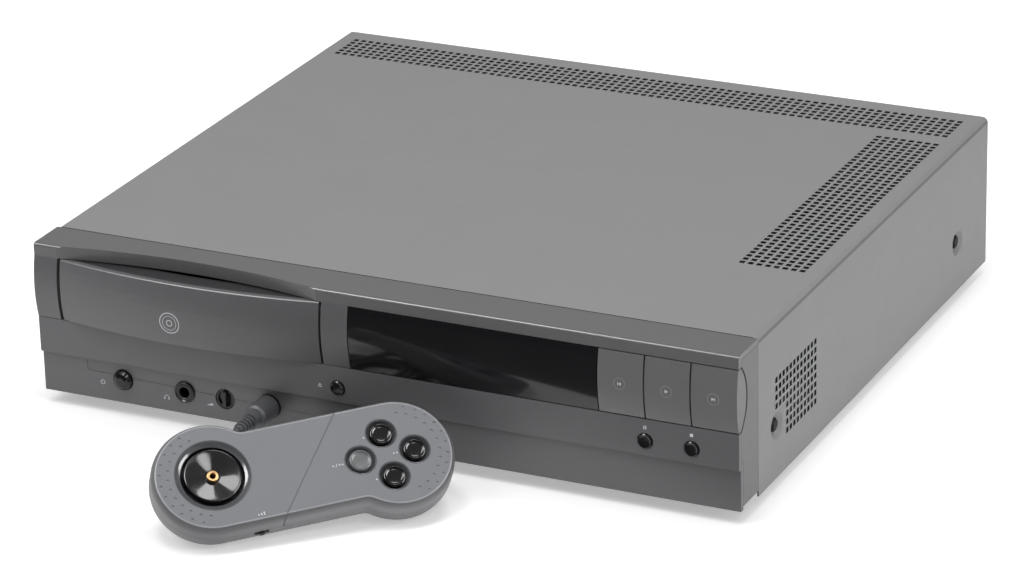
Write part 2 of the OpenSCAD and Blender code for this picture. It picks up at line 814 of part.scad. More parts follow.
module audio_video_sockets() {
  color(bright_metal) from_front() for (x = socket_x) difference() {
    union() {
      block([x - 9, 357, 28], [x + 9, rear_y, 52]);
      rod_y([x, socket_z], 4.2, rear_y - 1, cover_rear - 0.5);
    }
    rod_y([x, socket_z], 3.2, rear_y - 4, cover_rear);
  }
}

module mains_inlet() {
  color(dark) from_front() union() {
    difference() {
      block([inlet_x[0], 354, inlet_z[0]], [inlet_x[1], rear_y + sheet, inlet_z[1]]);
      block([inlet_x[0] + 4, 358, inlet_z[0] + 5], [inlet_x[1] - 4, 380, inlet_z[1] - 5]);
    }
    for (side = [-1, 1]) rod_y([-165 + 6.5 * side, 40], 1.2, 357, 367);
  }
}

// Controller shells: rings of one outline, moved outward and down

neck_at =
  let (
    reach = lobe_r + neck_r,
    out = [sin(edge_slope), -cos(edge_slope)],
    run = [cos(edge_slope), sin(edge_slope)],
    t = lobe_span * cos(edge_slope)
        - sqrt(pow(reach, 2) - pow(reach - lobe_span * sin(edge_slope), 2)))
  reach * out + t * run;
neck_turn = atan2(-neck_at[1], lobe_span - neck_at[0]);

function pad_outline(out) = concat(
  arc_points(lobe_at, lobe_r + out, neck_turn, 270 + edge_slope, 22),
  neck_points(lobe_at + neck_at, neck_r - out, 90 + edge_slope, neck_turn),
  arc_points(lobe_at + [lobe_span, 0], lobe_r + out, neck_turn - 180, 90 + edge_slope, 22),
  neck_points(lobe_at + [lobe_span, 0] - neck_at, neck_r - out,
              270 + edge_slope, 180 + neck_turn));

// Hollow arc of a neck without its last point, where the lobe's own arc begins
function neck_points(centre, r, a0, a1) =
  [for (i = [0:3]) let (a = a0 + (a1 - a0) * i / 4) centre + r * [cos(a), sin(a)]];

// Skin over a list of [outward shift, height] levels, from the lowest up
module pad_loft(levels) {
  rings = [for (l = levels) [for (p = pad_outline(l[0])) [p[0], p[1], l[1]]]];
  n = len(rings[0]);
  last = len(rings) - 1;
  sides = [for (k = [0:last - 1], i = [0:n - 1])
    let (j = (i + 1) % n) each
    [[k * n + i, (k + 1) * n + i, (k + 1) * n + j], [k * n + i, (k + 1) * n + j, k * n + j]]];
  polyhedron(
    points=[for (r = rings) each r],
    faces=concat([[for (i = [0:n - 1]) i]], sides, [[for (i = [n - 1:-1:0]) last * n + i]]));
}

module pad_well(at, r_top, r_hole) {
  translate([at[0], at[1], -pad_top_t - eps]) cylinder(r1=r_hole, r2=r_top, h=pad_top_t + 2 * eps);
}

// Levels of the round shoulder under the face's crisp edge
shoulder_levels = [for (i = [3:-1:0])
  let (a = 45 + 45 * i / 3)
  [shoulder_r * (sin(a) - sin(45)), shoulder_r * (cos(a) - cos(45))]];

module pad_top_shell() {
  groove = [[33.05, -29.1], [70.95, 28.5]];
  groove_run = groove[1] - groove[0];
  color(pad_grey) on_pad() union() {
    difference() {
      pad_loft(concat([[pad_side, -pad_split]], shoulder_levels));
      translate([0, 0, -pad_split - 1]) linear_extrude(pad_split + 1 - pad_top_t) polygon(pad_outline(-0.6));
      pad_well([0, 0], well_r, well_hole_r);
      for (at = [north_at, east_at, south_at, west_at]) pad_well(at, button_well_r, button_hole_r);
      translate([groove[0][0], groove[0][1], -0.5]) rotate([0, 0, atan2(groove_run[1], groove_run[0])])
        translate([0, -0.5, 0]) cube([norm(groove_run), 1, 2]);
    }
    for (at = boss_at) difference() {
      rod_z(at, 3, -pad_floor + 0.1, -pad_top_t + eps);
      rod_z(at, 1.25, -pad_floor - 1, -5);
    }
  }
}

belly_levels = [for (i = [6:-1:0])
  let (a = belly_end * i / 6)
  [pad_side - belly_r * (1 - cos(a)), -belly_z - belly_r * sin(a)]];

// Moves to a spot on the lower straight edge, with X along the edge and -Y outward
module at_lower_edge(along) {
  translate([lobe_at[0], lobe_at[1], 0]) rotate([0, 0, edge_slope])
    translate([along, -lobe_r, 0]) children();
}

module pad_bottom_shell() {
  color(pad_grey) on_pad() difference() {
    union() {
      difference() {
        pad_loft(concat(belly_levels, [[pad_side, -pad_split - 0.2]]));
        translate([0, 0, -16]) linear_extrude(10) polygon(pad_outline(-0.8));
        translate([0, 0, -pad_floor]) linear_extrude(14) polygon(pad_outline(-3.6));
      }
      for (side = [-1, 1])
        difference() {
          block([side * 10.5 - 1, -3.5, -pad_floor - 0.5], [side * 10.5 + 1, 3.5, pivot_z + 2.4]);
          translate([side * 10.5 - 2, 0, pivot_z]) rotate([0, 90, 0]) cylinder(r=1.5 + run_gap, h=4);
        }
      for (at = [[70, 14], [70, -14], [109, 10], [109, -10]]) rod_z(at, 2, -pad_floor - 0.5, -12.6);
    }
    at_lower_edge(switch_along) block([-3.9, -6, switch_z - 1.7], [3.9, 4, switch_z + 1.7]);
    for (at = boss_at) {
      rod_z(at, 1.6, -30, -5);
      rod_z(at, 3, -30, -pad_floor - boss_head);
    }
  }
}

module thumb_gimbal() {
  color(dark) on_pad() translate([0, 0, pivot_z]) union() {
    cube([7, 7, 5], center=true);
    translate([-11.4, 0, 0]) rotate([0, 90, 0]) cylinder(r=1.5, h=22.8);
    translate([0, -6.6, 0]) rotate([-90, 0, 0]) cylinder(r=1.2, h=13.2);
  }
}

module thumb_disc() {
  color(dark) on_pad() union() {
    rotate_extrude() polygon([[3.1, -1.9], [6, -2], [11.5, -1.3], [14.2, -0.2],
                              [thumb_r, -0.8], [thumb_r, -3.2],
                              [12, -4.6], [3.1, -4.6]]);
    for (side = [-1, 1])
      difference() {
        block([-3, side * 5.6 - 1, pivot_z - 3], [3, side * 5.6 + 1, -4.5]);
        translate([0, side * 5.6 - 2, pivot_z]) rotate([-90, 0, 0]) cylinder(r=1.2 + run_gap, h=4);
      }
  }
}

module thumb_insert() {
  color(brass) on_pad() rotate_extrude()
    polygon([[1.6, -1], [2, -0.6], [3.1, -0.6], [3.1, -4.8], [1.6, -4.8]]);
}

module pad_button(at) {
  color(at == west_at ? pad_grey : dark) on_pad() translate([at[0], at[1], 0])
    rotate_extrude() polygon([[0, -0.9], [3.6, -0.6], [5.2, 0.1],
                              [button_r, -0.7], [button_r, -pad_top_t - 0.4],
                              [7.3, -pad_top_t - 0.4], [7.3, -4.4], [4.5, -4.4], [4.5, -8], [0, -8]]);
}

module pad_button_north() {
  pad_button(north_at);
}

module pad_button_east() {
  pad_button(east_at);
}

module pad_button_south() {
  pad_button(south_at);
}

module pad_button_west() {
  pad_button(west_at);
}

module speed_switch() {
  color(dark) on_pad() at_lower_edge(switch_along) union() {
    block([-5.5, 1.1, switch_z - 1.6], [5.5, 2.9, switch_z + 1.6]);
    block([-1.2, -3.4, switch_z - 1.3], [1.2, 1.2, switch_z + 1.3]);
  }
}

module pad_board() {
  color(board_green) on_pad() translate([0, 0, -12.6]) linear_extrude(1.6)
    polygon([[16, -8], [64, -8], [64, -18], [108, -18], [114, -8],
             [114, 8], [108, 18], [64, 18], [64, 8], [16, 8]]);
}

module pad_screws() {
  color(bright_metal) on_pad() for (at = boss_at)
    translate([at[0], at[1], 0]) rotate_extrude()
      polygon([[0, -pad_floor - 2.5], [2.6, -pad_floor - 2.5], [2.6, -pad_floor - boss_head],
               [1.2, -pad_floor - boss_head], [1.2, -pad_floor + 8], [0, -pad_floor + 8]]);
}

// Cord

function unit(v) = v / norm(v);

// Rings of a round tube square to a route, with the first and last rings square to its ends
function tube_rings(route, r, sides) =
  let (last = len(route) - 1)
  [for (k = [0:last])
    let (
      t = unit(route[min(k + 1, last)] - route[max(k - 1, 0)]),
      u = unit(cross(t, [0, 0, 1])),
      v = cross(u, t))
    [for (i = [0:sides - 1]) let (a = 360 * (i + 0.5) / sides) route[k] + r * (cos(a) * u + sin(a) * v)]];

module tube(route, r, sides) {
  rings = tube_rings(route, r, sides);
  last = len(route) - 1;
  skin = [for (k = [0:last - 1], i = [0:sides - 1])
    let (j = (i + 1) % sides) each
    [[k * sides + i, (k + 1) * sides + i, (k + 1) * sides + j],
     [k * sides + i, (k + 1) * sides + j, k * sides + j]]];
  caps = [for (i = [1:sides - 2])
    each [[0, i, i + 1], [last * sides, last * sides + i + 1, last * sides + i]]];
  polyhedron(points=[for (ring = rings) each ring], faces=concat(skin, caps));
}

// Distance along a zigzag of the given period, from 0 up to half the period and back
function zigzag(x, period) = abs(((x + period / 2) % period) - period / 2);

// One point of the piled coil after some turns: it spirals in and out and climbs at each reversal
function coil_point(turns) =
  let (
    layer_turns = coil_turns / coil_layers,
    r = coil_out_r - coil_pitch * zigzag(turns, 2 * layer_turns),
    climbs = [for (k = [1:coil_layers - 1]) min(1, max(0, (turns - k * layer_turns) / 0.5 + 0.5))],
    z = coil_z + coil_lift * (climbs * [for (c = climbs) 1]),
    a = 270 + 360 * turns)
  [coil_at[0] + r * cos(a), coil_at[1] + r * sin(a), z];

coil_steps = coil_turns * coil_rings;
coil_route = concat(
  [coil_point(0) - [cord_d, 0, 0]],
  [for (i = [0:coil_steps]) coil_point(i / coil_rings)],
  [coil_point(coil_turns) - [cord_d, 0, 0]]);

// Least distance between points of the coil that are more than half a turn apart, less the cord
coil_gap = min([for (i = [0:coil_steps - 13], j = [i + 13:coil_steps])
  norm(coil_point(i / coil_rings) - coil_point(j / coil_rings))]) - cord_d;

module cord_lead() {
  color(inner_plastic) from_front() tube(lead_route, cord_d / 2, 8);
}

module cord_coil() {
  echo(coil_least_gap_mm=coil_gap);
  color(inner_plastic) from_front() tube(coil_route, cord_d / 2, coil_sides);
}

module cord_tail() {
  color(inner_plastic) from_front() tube(tail_route, cord_d / 2, 8);
}

// Turned piece along the line from one point to another
module turned_along(from, to, profile) {
  d = to - from;
  translate(from) rotate([0, acos(d[2] / norm(d)), atan2(d[1], d[0])]) rotate_extrude() polygon(profile);
}

module cord_relief() {
  reach = norm(tail_end - relief_root);
  color(inner_plastic) from_front()
    turned_along(relief_root, tail_end, [[0, -1], [4, -1], [4, 1.6], [3.2, 2.4],
                                         [2.5, reach], [0, reach]]);
}

module controller_plug() {
  ribs = [for (k = [0:3])
    each [[3.6, 22 + 3 * k], [3.6, 23.6 + 3 * k], [2.7, 23.6 + 3 * k], [2.7, 25 + 3 * k]]];
  face = step_y - 0.6;
  color(dark) from_front() translate([port_at[0], face, port_at[1]]) rotate([90, 0, 0])
    rotate_extrude() polygon(concat(
      [[0, -9], [4.4, -9], [4.4, 0], [6.4, 0], [6.9, 0.6], [6.9, 15], [5.8, 16.5], [5, 16.8], [5, 22]],
      ribs, [[2.7, face - plug_end], [0, face - plug_end]]));
}

top_cover();
chassis_pan();
rear_panel();
feet();
case_screws();
fascia_frame();
fascia_cap();
fascia_panel();
display_window();
display_module();
front_board();
phones_jack();
controller_socket();
volume_pot();
power_switch();
drawer_front();
disc_tray();
mechanism_deck();
clamp_bridge();
clamp_puck();
loading_gear();
motor_pulley();
loading_belt();
loading_motor();
spindle_motor();
turntable();
laser_sled();
sled_rods();
sled_gear();
sled_motor();
main_board();
power_board();
power_transformer();
audio_video_sockets();
mains_inlet();
previous_key();
play_key();
next_key();
open_button();
pause_button();
stop_button();
power_button();
volume_knob();
pad_top_shell();
pad_bottom_shell();
thumb_gimbal();
thumb_disc();
thumb_insert();
pad_button_north();
pad_button_east();
pad_button_south();
pad_button_west();
speed_switch();
pad_board();
pad_screws();
controller_plug();
cord_lead();
cord_coil();
cord_tail();
cord_relief();
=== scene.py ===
"""Dressed model of a home disc player with its wired hand controller.

Lengths are written in millimetres. Inside this file Y is measured from the front
plane of the fascia, as on the drawing, and `at` turns a place into the row frame.
"""

import json
import logging
import math
from dataclasses import dataclass, replace
from enum import Enum
from typing import Any, Callable, Iterable, Sequence

import bmesh
import bpy
from mathutils import Matrix, Vector


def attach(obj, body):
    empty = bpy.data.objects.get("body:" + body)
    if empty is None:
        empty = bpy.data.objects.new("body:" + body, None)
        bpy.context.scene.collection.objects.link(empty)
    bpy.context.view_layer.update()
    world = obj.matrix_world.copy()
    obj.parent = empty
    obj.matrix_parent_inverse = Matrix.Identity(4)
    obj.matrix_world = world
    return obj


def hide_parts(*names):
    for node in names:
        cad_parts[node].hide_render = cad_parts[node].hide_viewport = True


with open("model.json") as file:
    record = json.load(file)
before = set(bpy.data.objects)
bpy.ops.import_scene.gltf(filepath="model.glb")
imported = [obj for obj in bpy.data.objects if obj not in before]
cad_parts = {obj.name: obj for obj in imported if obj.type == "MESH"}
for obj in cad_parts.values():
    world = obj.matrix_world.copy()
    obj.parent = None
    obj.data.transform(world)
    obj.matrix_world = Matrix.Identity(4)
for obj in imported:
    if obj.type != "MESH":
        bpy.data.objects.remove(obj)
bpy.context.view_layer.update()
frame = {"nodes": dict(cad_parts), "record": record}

LOG = logging.getLogger("disc_player")
MM = 0.001
FRONT_Y = -118.95
CONSOLE = "console"
SHARP = 32.0
WHITE = (1.0, 1.0, 1.0, 1.0)
ORIGIN = (0.0, 0.0)

Point2 = tuple[float, float]
Point3 = tuple[float, float, float]
Loop = list[Point2]
Shape = list[Loop]
BMesh = bmesh.types.BMesh
Vert = bmesh.types.BMVert
Object = bpy.types.Object
Tree = bpy.types.NodeTree
Node = bpy.types.Node
Socket = bpy.types.NodeSocket
Outputs = bpy.types.NodeOutputs
Ring = list[Vert]
Place = Callable[[float, float], Vector]


def at(x: float, y: float, z: float) -> Vector:
    """Place on the drawing, in millimetres, as metres in the row frame."""
    return Vector((x * MM, (y + FRONT_Y) * MM, z * MM))


def linear(tone: float) -> float:
    """Display tone from 0 to 255 as a linear value."""
    share = tone / 255.0
    return share / 12.92 if share <= 0.04045 else ((share + 0.055) / 1.055) ** 2.4


def arc(centre: Point2, radius: float, start: float, end: float, count: int) -> Loop:
    """Points along an arc.

    Args:
        centre: Middle of the arc.
        radius: Radius of the arc.
        start: First angle in degrees.
        end: Last angle in degrees.
        count: Number of steps.

    Returns:
        count + 1 points from start to end.
    """
    angles = [math.radians(start + (end - start) * i / count) for i in range(count + 1)]
    return [(centre[0] + radius * math.cos(a), centre[1] + radius * math.sin(a)) for a in angles]


def circle(centre: Point2, radius: float, count: int) -> Loop:
    """Circle as a loop."""
    return arc(centre, radius, 0.0, 360.0, count)[:-1]


# Finishes


class Tone(Enum):
    """Display tones of the object's surfaces, red, green and blue from 0 to 255."""

    COVER = (133, 133, 133)
    # Lower part of the cover's folds, darker as painted shade.
    FOLD_SHADE = (100, 100, 101)
    # Inside faces and vent walls of the cover, near-black as painted shade.
    INSIDE_SHADE = (34, 34, 35)
    FASCIA = (92, 92, 94)
    CAP = (96, 96, 97)
    KEY = (101, 101, 102)
    # Finger recess's shelf, darker as painted shade.
    RECESS_SHADE = (46, 46, 48)
    CONTROL = (24, 24, 26)
    PAD = (112, 114, 119)
    PAD_WALL = (122, 122, 124)
    # Rim line of the controller's face, lighter as a painted highlight.
    PAD_EDGE_PAINTED_HIGHLIGHT = (148, 149, 153)
    # Wells round the thumb disc and buttons, darker as painted shade.
    WELL_SHADE = (86, 87, 90)
    BLACK = (14, 14, 15)
    GREY_BUTTON = (100, 101, 102)
    CORD = (84, 85, 87)
    PRINT = (200, 201, 203)
    # Raised rings on the keys, paler as a painted highlight on their ridges.
    EMBOSS_HIGHLIGHT = (132, 132, 133)
    BRASS = (182, 148, 104)
    STEEL = (186, 187, 190)
    BOARD = (34, 78, 48)
    INNER = (52, 53, 56)


def feed(tree: Tree, node: Node, inputs: dict[Any, Any]) -> None:
    """Fill a node's inputs.

    Args:
        tree: The node tree.
        node: The node.
        inputs: Sockets to link and constants to set, by input.
    """
    for key, value in inputs.items():
        if isinstance(value, Socket):
            tree.links.new(value, node.inputs[key])
        else:
            node.inputs[key].default_value = value


def add_node(tree: Tree, kind: str, inputs: dict[Any, Any], **settings: str) -> Outputs:
    """Add a node to a tree.

    Args:
        tree: The node tree.
        kind: Type of the node.
        inputs: Sockets to link and constants to set, by input.
        settings: Settings of the node.

    Returns:
        The node's outputs.
    """
    node = tree.nodes.new(kind)
    for key, value in settings.items():
        setattr(node, key, value)
    feed(tree, node, inputs)
    return node.outputs


def object_place(tree: Tree) -> Socket:
    """Socket with the place on the piece, in metres."""
    return add_node(tree, "ShaderNodeTexCoord", {})["Object"]


@dataclass(frozen=True)
class Finish:
    """A procedural surface with a mottled tone, uneven gloss and a fine grain.

    Attributes:
        name: Name of the material.
        tone: Mean display tone.
        roughness: Mean roughness.
        metallic: 1 for bare metal.
        grain: Grains per metre.
        relief: Strength of the grain's bump.
        mottle: Share by which the tone wanders.
        uneven: Amount by which the roughness wanders.
        specular: Reflectivity of the base at normal view, 0.5 for plain plastic.
        clouds: Patches of tone per metre.
        patches: Patches of gloss per metre.
        depth: Height of the grain in metres.
    """

    name: str
    tone: Tone
    roughness: float = 0.5
    metallic: float = 0.0
    grain: float = 1400.0
    relief: float = 0.05
    mottle: float = 0.05
    uneven: float = 0.06
    specular: float = 0.5
    clouds: float = 28.0
    patches: float = 90.0
    depth: float = 0.0002

    def material(self) -> bpy.types.Material:
        """Make the material on first use.

        Returns:
            The material, which later calls share.
        """
        known = bpy.data.materials.get(self.name)
        if known is not None:
            return known
        made = bpy.data.materials.new(self.name)
        made.use_nodes = True
        tree = made.node_tree
        shader = tree.nodes["Principled BSDF"]
        feed(tree, shader, {"Metallic": self.metallic, "Specular IOR Level": self.specular})
        self.wire(tree, shader)
        return made

    def wire(self, tree: Tree, shader: Node) -> None:
        """Connect tone, roughness and grain.

        Args:
            tree: The material's node tree.
            shader: Its principled shader.
        """
        place = object_place(tree)

        def noise(scale: float, octaves: float) -> Socket:
            """Noise texture with some features per metre."""
            inputs = {"Vector": place, "Scale": scale, "Detail": octaves}
            return add_node(tree, "ShaderNodeTexNoise", inputs)["Fac"]

        low, high = self.tones()
        blend = add_node(tree, "ShaderNodeMix", {
            "A": low, "B": high, "Factor": noise(self.clouds, 4.0)}, data_type="RGBA")
        gloss = add_node(tree, "ShaderNodeMapRange", {
            "To Min": max(0.02, self.roughness - self.uneven),
            "To Max": min(1.0, self.roughness + self.uneven), "Value": noise(self.patches, 3.0)})
        bump = add_node(tree, "ShaderNodeBump", {
            "Strength": self.relief, "Distance": self.depth, "Height": noise(self.grain, 2.0)})
        feed(tree, shader, {
            "Base Color": blend["Result"], "Roughness": gloss["Result"], "Normal": bump["Normal"]})

    def tones(self) -> tuple[tuple[float, ...], tuple[float, ...]]:
        """Linear colours at both ends of the mottling.

        Returns:
            The darkest and the lightest colour.
        """
        base = [linear(t) for t in self.tone.value]
        low = tuple(c * (1.0 - self.mottle) for c in base) + (1.0,)
        high = tuple(min(1.0, c * (1.0 + self.mottle)) for c in base) + (1.0,)
        return low, high


@dataclass(frozen=True)
class EdgeShade(Finish):
    """A finish with painted shade: darker towards the top of its piece, where the wall meets the
    face.

    Attributes:
        reach: Length over which the painted shade darkens, in metres.
        dark: Share of the tone that is left at the top, where the painted shade is deepest.
    """

    reach: float = 0.0052
    dark: float = 0.6

    def wire(self, tree: Tree, shader: Node) -> None:
        """Scale the tone by the height on the piece, which paints the shade under the face's edge.

        Args:
            tree: The material's node tree.
            shader: Its principled shader.
        """
        super().wire(tree, shader)
        colour = shader.inputs["Base Color"].links[0].from_socket
        height = add_node(tree, "ShaderNodeSeparateXYZ", {"Vector": object_place(tree)})["Z"]
        share = add_node(tree, "ShaderNodeMapRange", {
            "Value": height, "From Min": -self.reach, "From Max": 0.0,
            "To Min": 1.0, "To Max": self.dark})
        scaled = add_node(tree, "ShaderNodeVectorMath", {0: colour, "Scale": share["Result"]},
                          operation="SCALE")
        feed(tree, shader, {"Base Color": scaled["Vector"]})


@dataclass(frozen=True)
class Lacquer(Finish):
    """Circuit board lacquer with paler tracks.

    Attributes:
        cells: Cells of the track pattern per metre.
        track: Width of a track as a share of a cell.
        pale: How many times lighter the tracks are.
    """

    cells: float = 120.0
    track: float = 0.04
    pale: float = 2.2

    def wire(self, tree: Tree, shader: Node) -> None:
        """Replace the mottling by a pattern of tracks.

        Args:
            tree: The material's node tree.
            shader: Its principled shader.
        """
        super().wire(tree, shader)
        low, high = self.tones()
        tracks = add_node(tree, "ShaderNodeTexBrick", {
            "Vector": object_place(tree), "Scale": self.cells, "Mortar Size": self.track,
            "Color1": low, "Color2": high,
            "Mortar": tuple(c * self.pale for c in high[:3]) + (1.0,)})
        feed(tree, shader, {"Base Color": tracks["Color"]})


COVER_PAINT = Finish("cover_paint", Tone.COVER, grain=1600.0, relief=0.22, mottle=0.03,
                     uneven=0.05)
# Cover paint darkened as painted shade for the lower part of the folds.
FOLD_PAINTED_SHADE = replace(COVER_PAINT, name="fold_painted_shade", tone=Tone.FOLD_SHADE)
# Near-black painted shade for the cover's inner faces and vent walls.
COVER_INSIDE_PAINTED_SHADE = Finish("cover_inside_painted_shade", Tone.INSIDE_SHADE, 0.6, grain=1600.0, relief=0.1)
FASCIA_PLASTIC = Finish("fascia_plastic", Tone.FASCIA, 0.38, grain=2200.0, relief=0.16, mottle=0.03)
CAP_PLASTIC = Finish("cap_plastic", Tone.CAP, 0.31, grain=2200.0, relief=0.1, mottle=0.03)
KEY_PLASTIC = replace(FASCIA_PLASTIC, name="key_plastic", tone=Tone.KEY)
# Front plastic darkened as painted shade for the finger recess.
RECESS_PAINTED_SHADE_PLASTIC = replace(FASCIA_PLASTIC, name="recess_painted_shade", tone=Tone.RECESS_SHADE)
CONTROL_PLASTIC = Finish("control_plastic", Tone.CONTROL, 0.18, grain=900.0, relief=0.03,
                         specular=0.4)
PAD_PLASTIC = Finish("pad_moulding", Tone.PAD, 0.46, grain=1700.0, relief=0.35, mottle=0.06)
# Pad wall plastic with painted shade that darkens the wall towards the face's edge.
PAD_WALL_PAINTED_SHADE = EdgeShade("pad_wall_painted_shade", Tone.PAD_WALL, grain=1700.0, relief=0.3)
# Lighter edge band of the controller's face: a painted highlight of the rim line.
PAD_EDGE_PAINTED_HIGHLIGHT = Finish("pad_edge_painted_highlight", Tone.PAD_EDGE_PAINTED_HIGHLIGHT, 0.36, grain=1700.0)
# Wells' moulding: its gloss is real, its darker tone is painted shade.
PAD_WELL_PAINTED_SHADE = Finish("pad_well", Tone.WELL_SHADE, 0.16, grain=900.0, relief=0.03, uneven=0.03)
WINDOW = Finish("window_acrylic", Tone.CONTROL, 0.1, grain=60.0, relief=0.01, mottle=0.2,
                uneven=0.02, specular=0.55)
BLACK_PLASTIC = Finish("black_plastic", Tone.BLACK, 0.4, grain=1500.0, relief=0.08, specular=0.35)
SCREW_BLACK = Finish("screw_black", Tone.BLACK, grain=900.0, relief=0.1, specular=0.1)
BUTTON_GLOSS = Finish("button_gloss", Tone.BLACK, 0.12, grain=500.0, relief=0.01, uneven=0.02,
                      specular=0.45)
THUMB_GLOSS = replace(BUTTON_GLOSS, name="thumb_gloss", roughness=0.15, specular=0.5)
GREY_BUTTON = Finish("grey_button", Tone.GREY_BUTTON, 0.34, grain=1500.0)
CORD_RUBBER = Finish("cord_rubber", Tone.CORD, grain=700.0, relief=0.08)
PRINT_INK = Finish("print_ink", Tone.PRINT, 0.6, grain=900.0, relief=0.03)
# The key rings are raised; their paler tone is a painted highlight.
EMBOSS_PAINTED_HIGHLIGHT = Finish("emboss_painted_highlight", Tone.EMBOSS_HIGHLIGHT, grain=900.0, relief=0.03)
TURNED_BRASS = Finish("turned_brass", Tone.BRASS, 0.4, 1.0, grain=900.0)
PLATED_STEEL = Finish("plated_steel", Tone.STEEL, 0.34, 1.0, grain=600.0, relief=0.06)
BRIGHT_STEEL = Finish("bright_steel", Tone.STEEL, 0.18, 1.0, grain=600.0, relief=0.03)
BOARD_LACQUER = Lacquer("board_lacquer", Tone.BOARD, 0.35)
DARK_LACQUER = Lacquer("dark_lacquer", Tone.CONTROL, 0.4)
INNER_PLASTIC = Finish("inner_moulding", Tone.INNER, 0.45, grain=900.0, relief=0.08)

SLOT_FINISH: dict[str, Finish] = {
    "cover_steel": COVER_PAINT,
    "pan_steel": PLATED_STEEL,
    "front_plastic": FASCIA_PLASTIC,
    "window_plastic": WINDOW,
    "dark_plastic": BLACK_PLASTIC,
    "gloss_black": BUTTON_GLOSS,
    "pad_plastic": PAD_PLASTIC,
    "inner_plastic": INNER_PLASTIC,
    "board": BOARD_LACQUER,
    "machined": PLATED_STEEL,
    "rod_steel": BRIGHT_STEEL,
    "black_screw": SCREW_BLACK,
    "foot_rubber": BLACK_PLASTIC,
    "belt_rubber": BLACK_PLASTIC,
    "brass": TURNED_BRASS,
    "cord": CORD_RUBBER,
}
CONTROLS = ("open_button", "pause_button", "stop_button", "power_button", "phones_jack",
            "volume_knob")
NODE_FINISH: dict[str, Finish] = {
    **{name: KEY_PLASTIC for name in ("previous_key", "play_key", "next_key")},
    **{name: CONTROL_PLASTIC for name in CONTROLS},
    "fascia_cap": CAP_PLASTIC,
    "controller_plug": CORD_RUBBER,
    "pad_board": DARK_LACQUER,
}


# Mesh helpers


def link_object(name: str, data: bpy.types.ID) -> Object:
    """Make an object and put it into the scene.

    Args:
        name: Name of the object.
        data: Its mesh, curve, lamp or camera.

    Returns:
        The object.
    """
    made = bpy.data.objects.new(name, data)
    bpy.context.scene.collection.objects.link(made)
    return made


def shade(mesh: bpy.types.Mesh, sharp: float) -> None:
    """Shade smooth, but keep edges sharp above an angle in degrees."""
    mesh.shade_smooth()
    mesh.set_sharp_from_angle(angle=math.radians(sharp))


def sheet(bm: BMesh, name: str, sharp: float = SHARP) -> Object:
    """Turn an open bmesh into a smooth-shaded object with sharp creases.

    Args:
        bm: The mesh, which is freed.
        name: Name of the object.
        sharp: Angle above which an edge stays sharp, in degrees.

    Returns:
        The object, linked to the scene.
    """
    mesh = bpy.data.meshes.new(name)
    bm.to_mesh(mesh)
    bm.free()
    shade(mesh, sharp)
    return link_object(name, mesh)


def solid(bm: BMesh, name: str, sharp: float = SHARP) -> Object:
    """As sheet, for a closed bmesh, whose faces are turned outward first."""
    bmesh.ops.recalc_face_normals(bm, faces=bm.faces)
    return sheet(bm, name, sharp)


def settle(obj: Object) -> None:
    """Make an object's modifiers part of its mesh.

    Args:
        obj: The object.
    """
    bpy.context.view_layer.update()
    shown = obj.evaluated_get(bpy.context.evaluated_depsgraph_get())
    result = bpy.data.meshes.new_from_object(shown)
    obj.modifiers.clear()
    obj.data = result
    shade(result, SHARP)


def paint(obj: Object, *finishes: Finish) -> None:
    """Add materials to an object."""
    for finish in finishes:
        obj.data.materials.append(finish.material())


def dress(obj: Object, finish: Finish | None, body: str, slot: str, *nodes: str) -> Object:
    """Give a piece its material and its body, and hide the nodes it stands for.

    Args:
        obj: The piece.
        finish: Its surface, or None where it is painted already.
        body: The body it rides on.
        slot: The record's material slot; not used.
        nodes: Nodes it replaces.

    Returns:
        The same piece.
    """
    if finish is not None:
        paint(obj, finish)
    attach(obj, body)
    if nodes:
        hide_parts(*nodes)
    LOG.info("%s rides on %s", obj.name, body)
    return obj


def ring_at(bm: BMesh, loop: Iterable[Point2], height: float) -> Ring:
    """Vertices of a loop at a height."""
    return [bm.verts.new((x * MM, y * MM, height * MM)) for x, y in loop]


def bridge(bm: BMesh, rings: Sequence[Ring], finish: int = 0) -> None:
    """Join each closed ring of vertices to the next by quads.

    Args:
        bm: The mesh to add to.
        rings: Rings with the same count.
        finish: Index of the quads' material.
    """
    for first, second in zip(rings, rings[1:]):
        for i in range(len(first)):
            j = (i + 1) % len(first)
            quad = bm.faces.new((first[i], first[j], second[j], second[i]))
            quad.material_index = finish


def fill(bm: BMesh, rings: Iterable[Ring]) -> None:
    """Flat face between closed rings of vertices.

    Args:
        bm: The mesh to add to.
        rings: The outer ring and the holes' rings.
    """
    edges = []
    for ring in rings:
        for pair in zip(ring, ring[1:] + ring[:1]):
            edges.append(bm.edges.get(pair) or bm.edges.new(pair))
    bmesh.ops.triangle_fill(bm, edges=edges, use_beauty=True)


def sleeve(bm: BMesh, spot: Point2, levels: Sequence[Point2], count: int,
           finish: int = 0) -> tuple[Ring, Ring]:
    """Round wall about a spot.

    Args:
        bm: The mesh to add to.
        spot: Middle of the wall.
        levels: Radius and height of each ring.
        count: Steps round the spot.
        finish: Index of the wall's material.

    Returns:
        The first and the last ring.
    """
    rings = [ring_at(bm, circle(spot, radius, count), height) for radius, height in levels]
    bridge(bm, rings, finish)
    return rings[0], rings[-1]


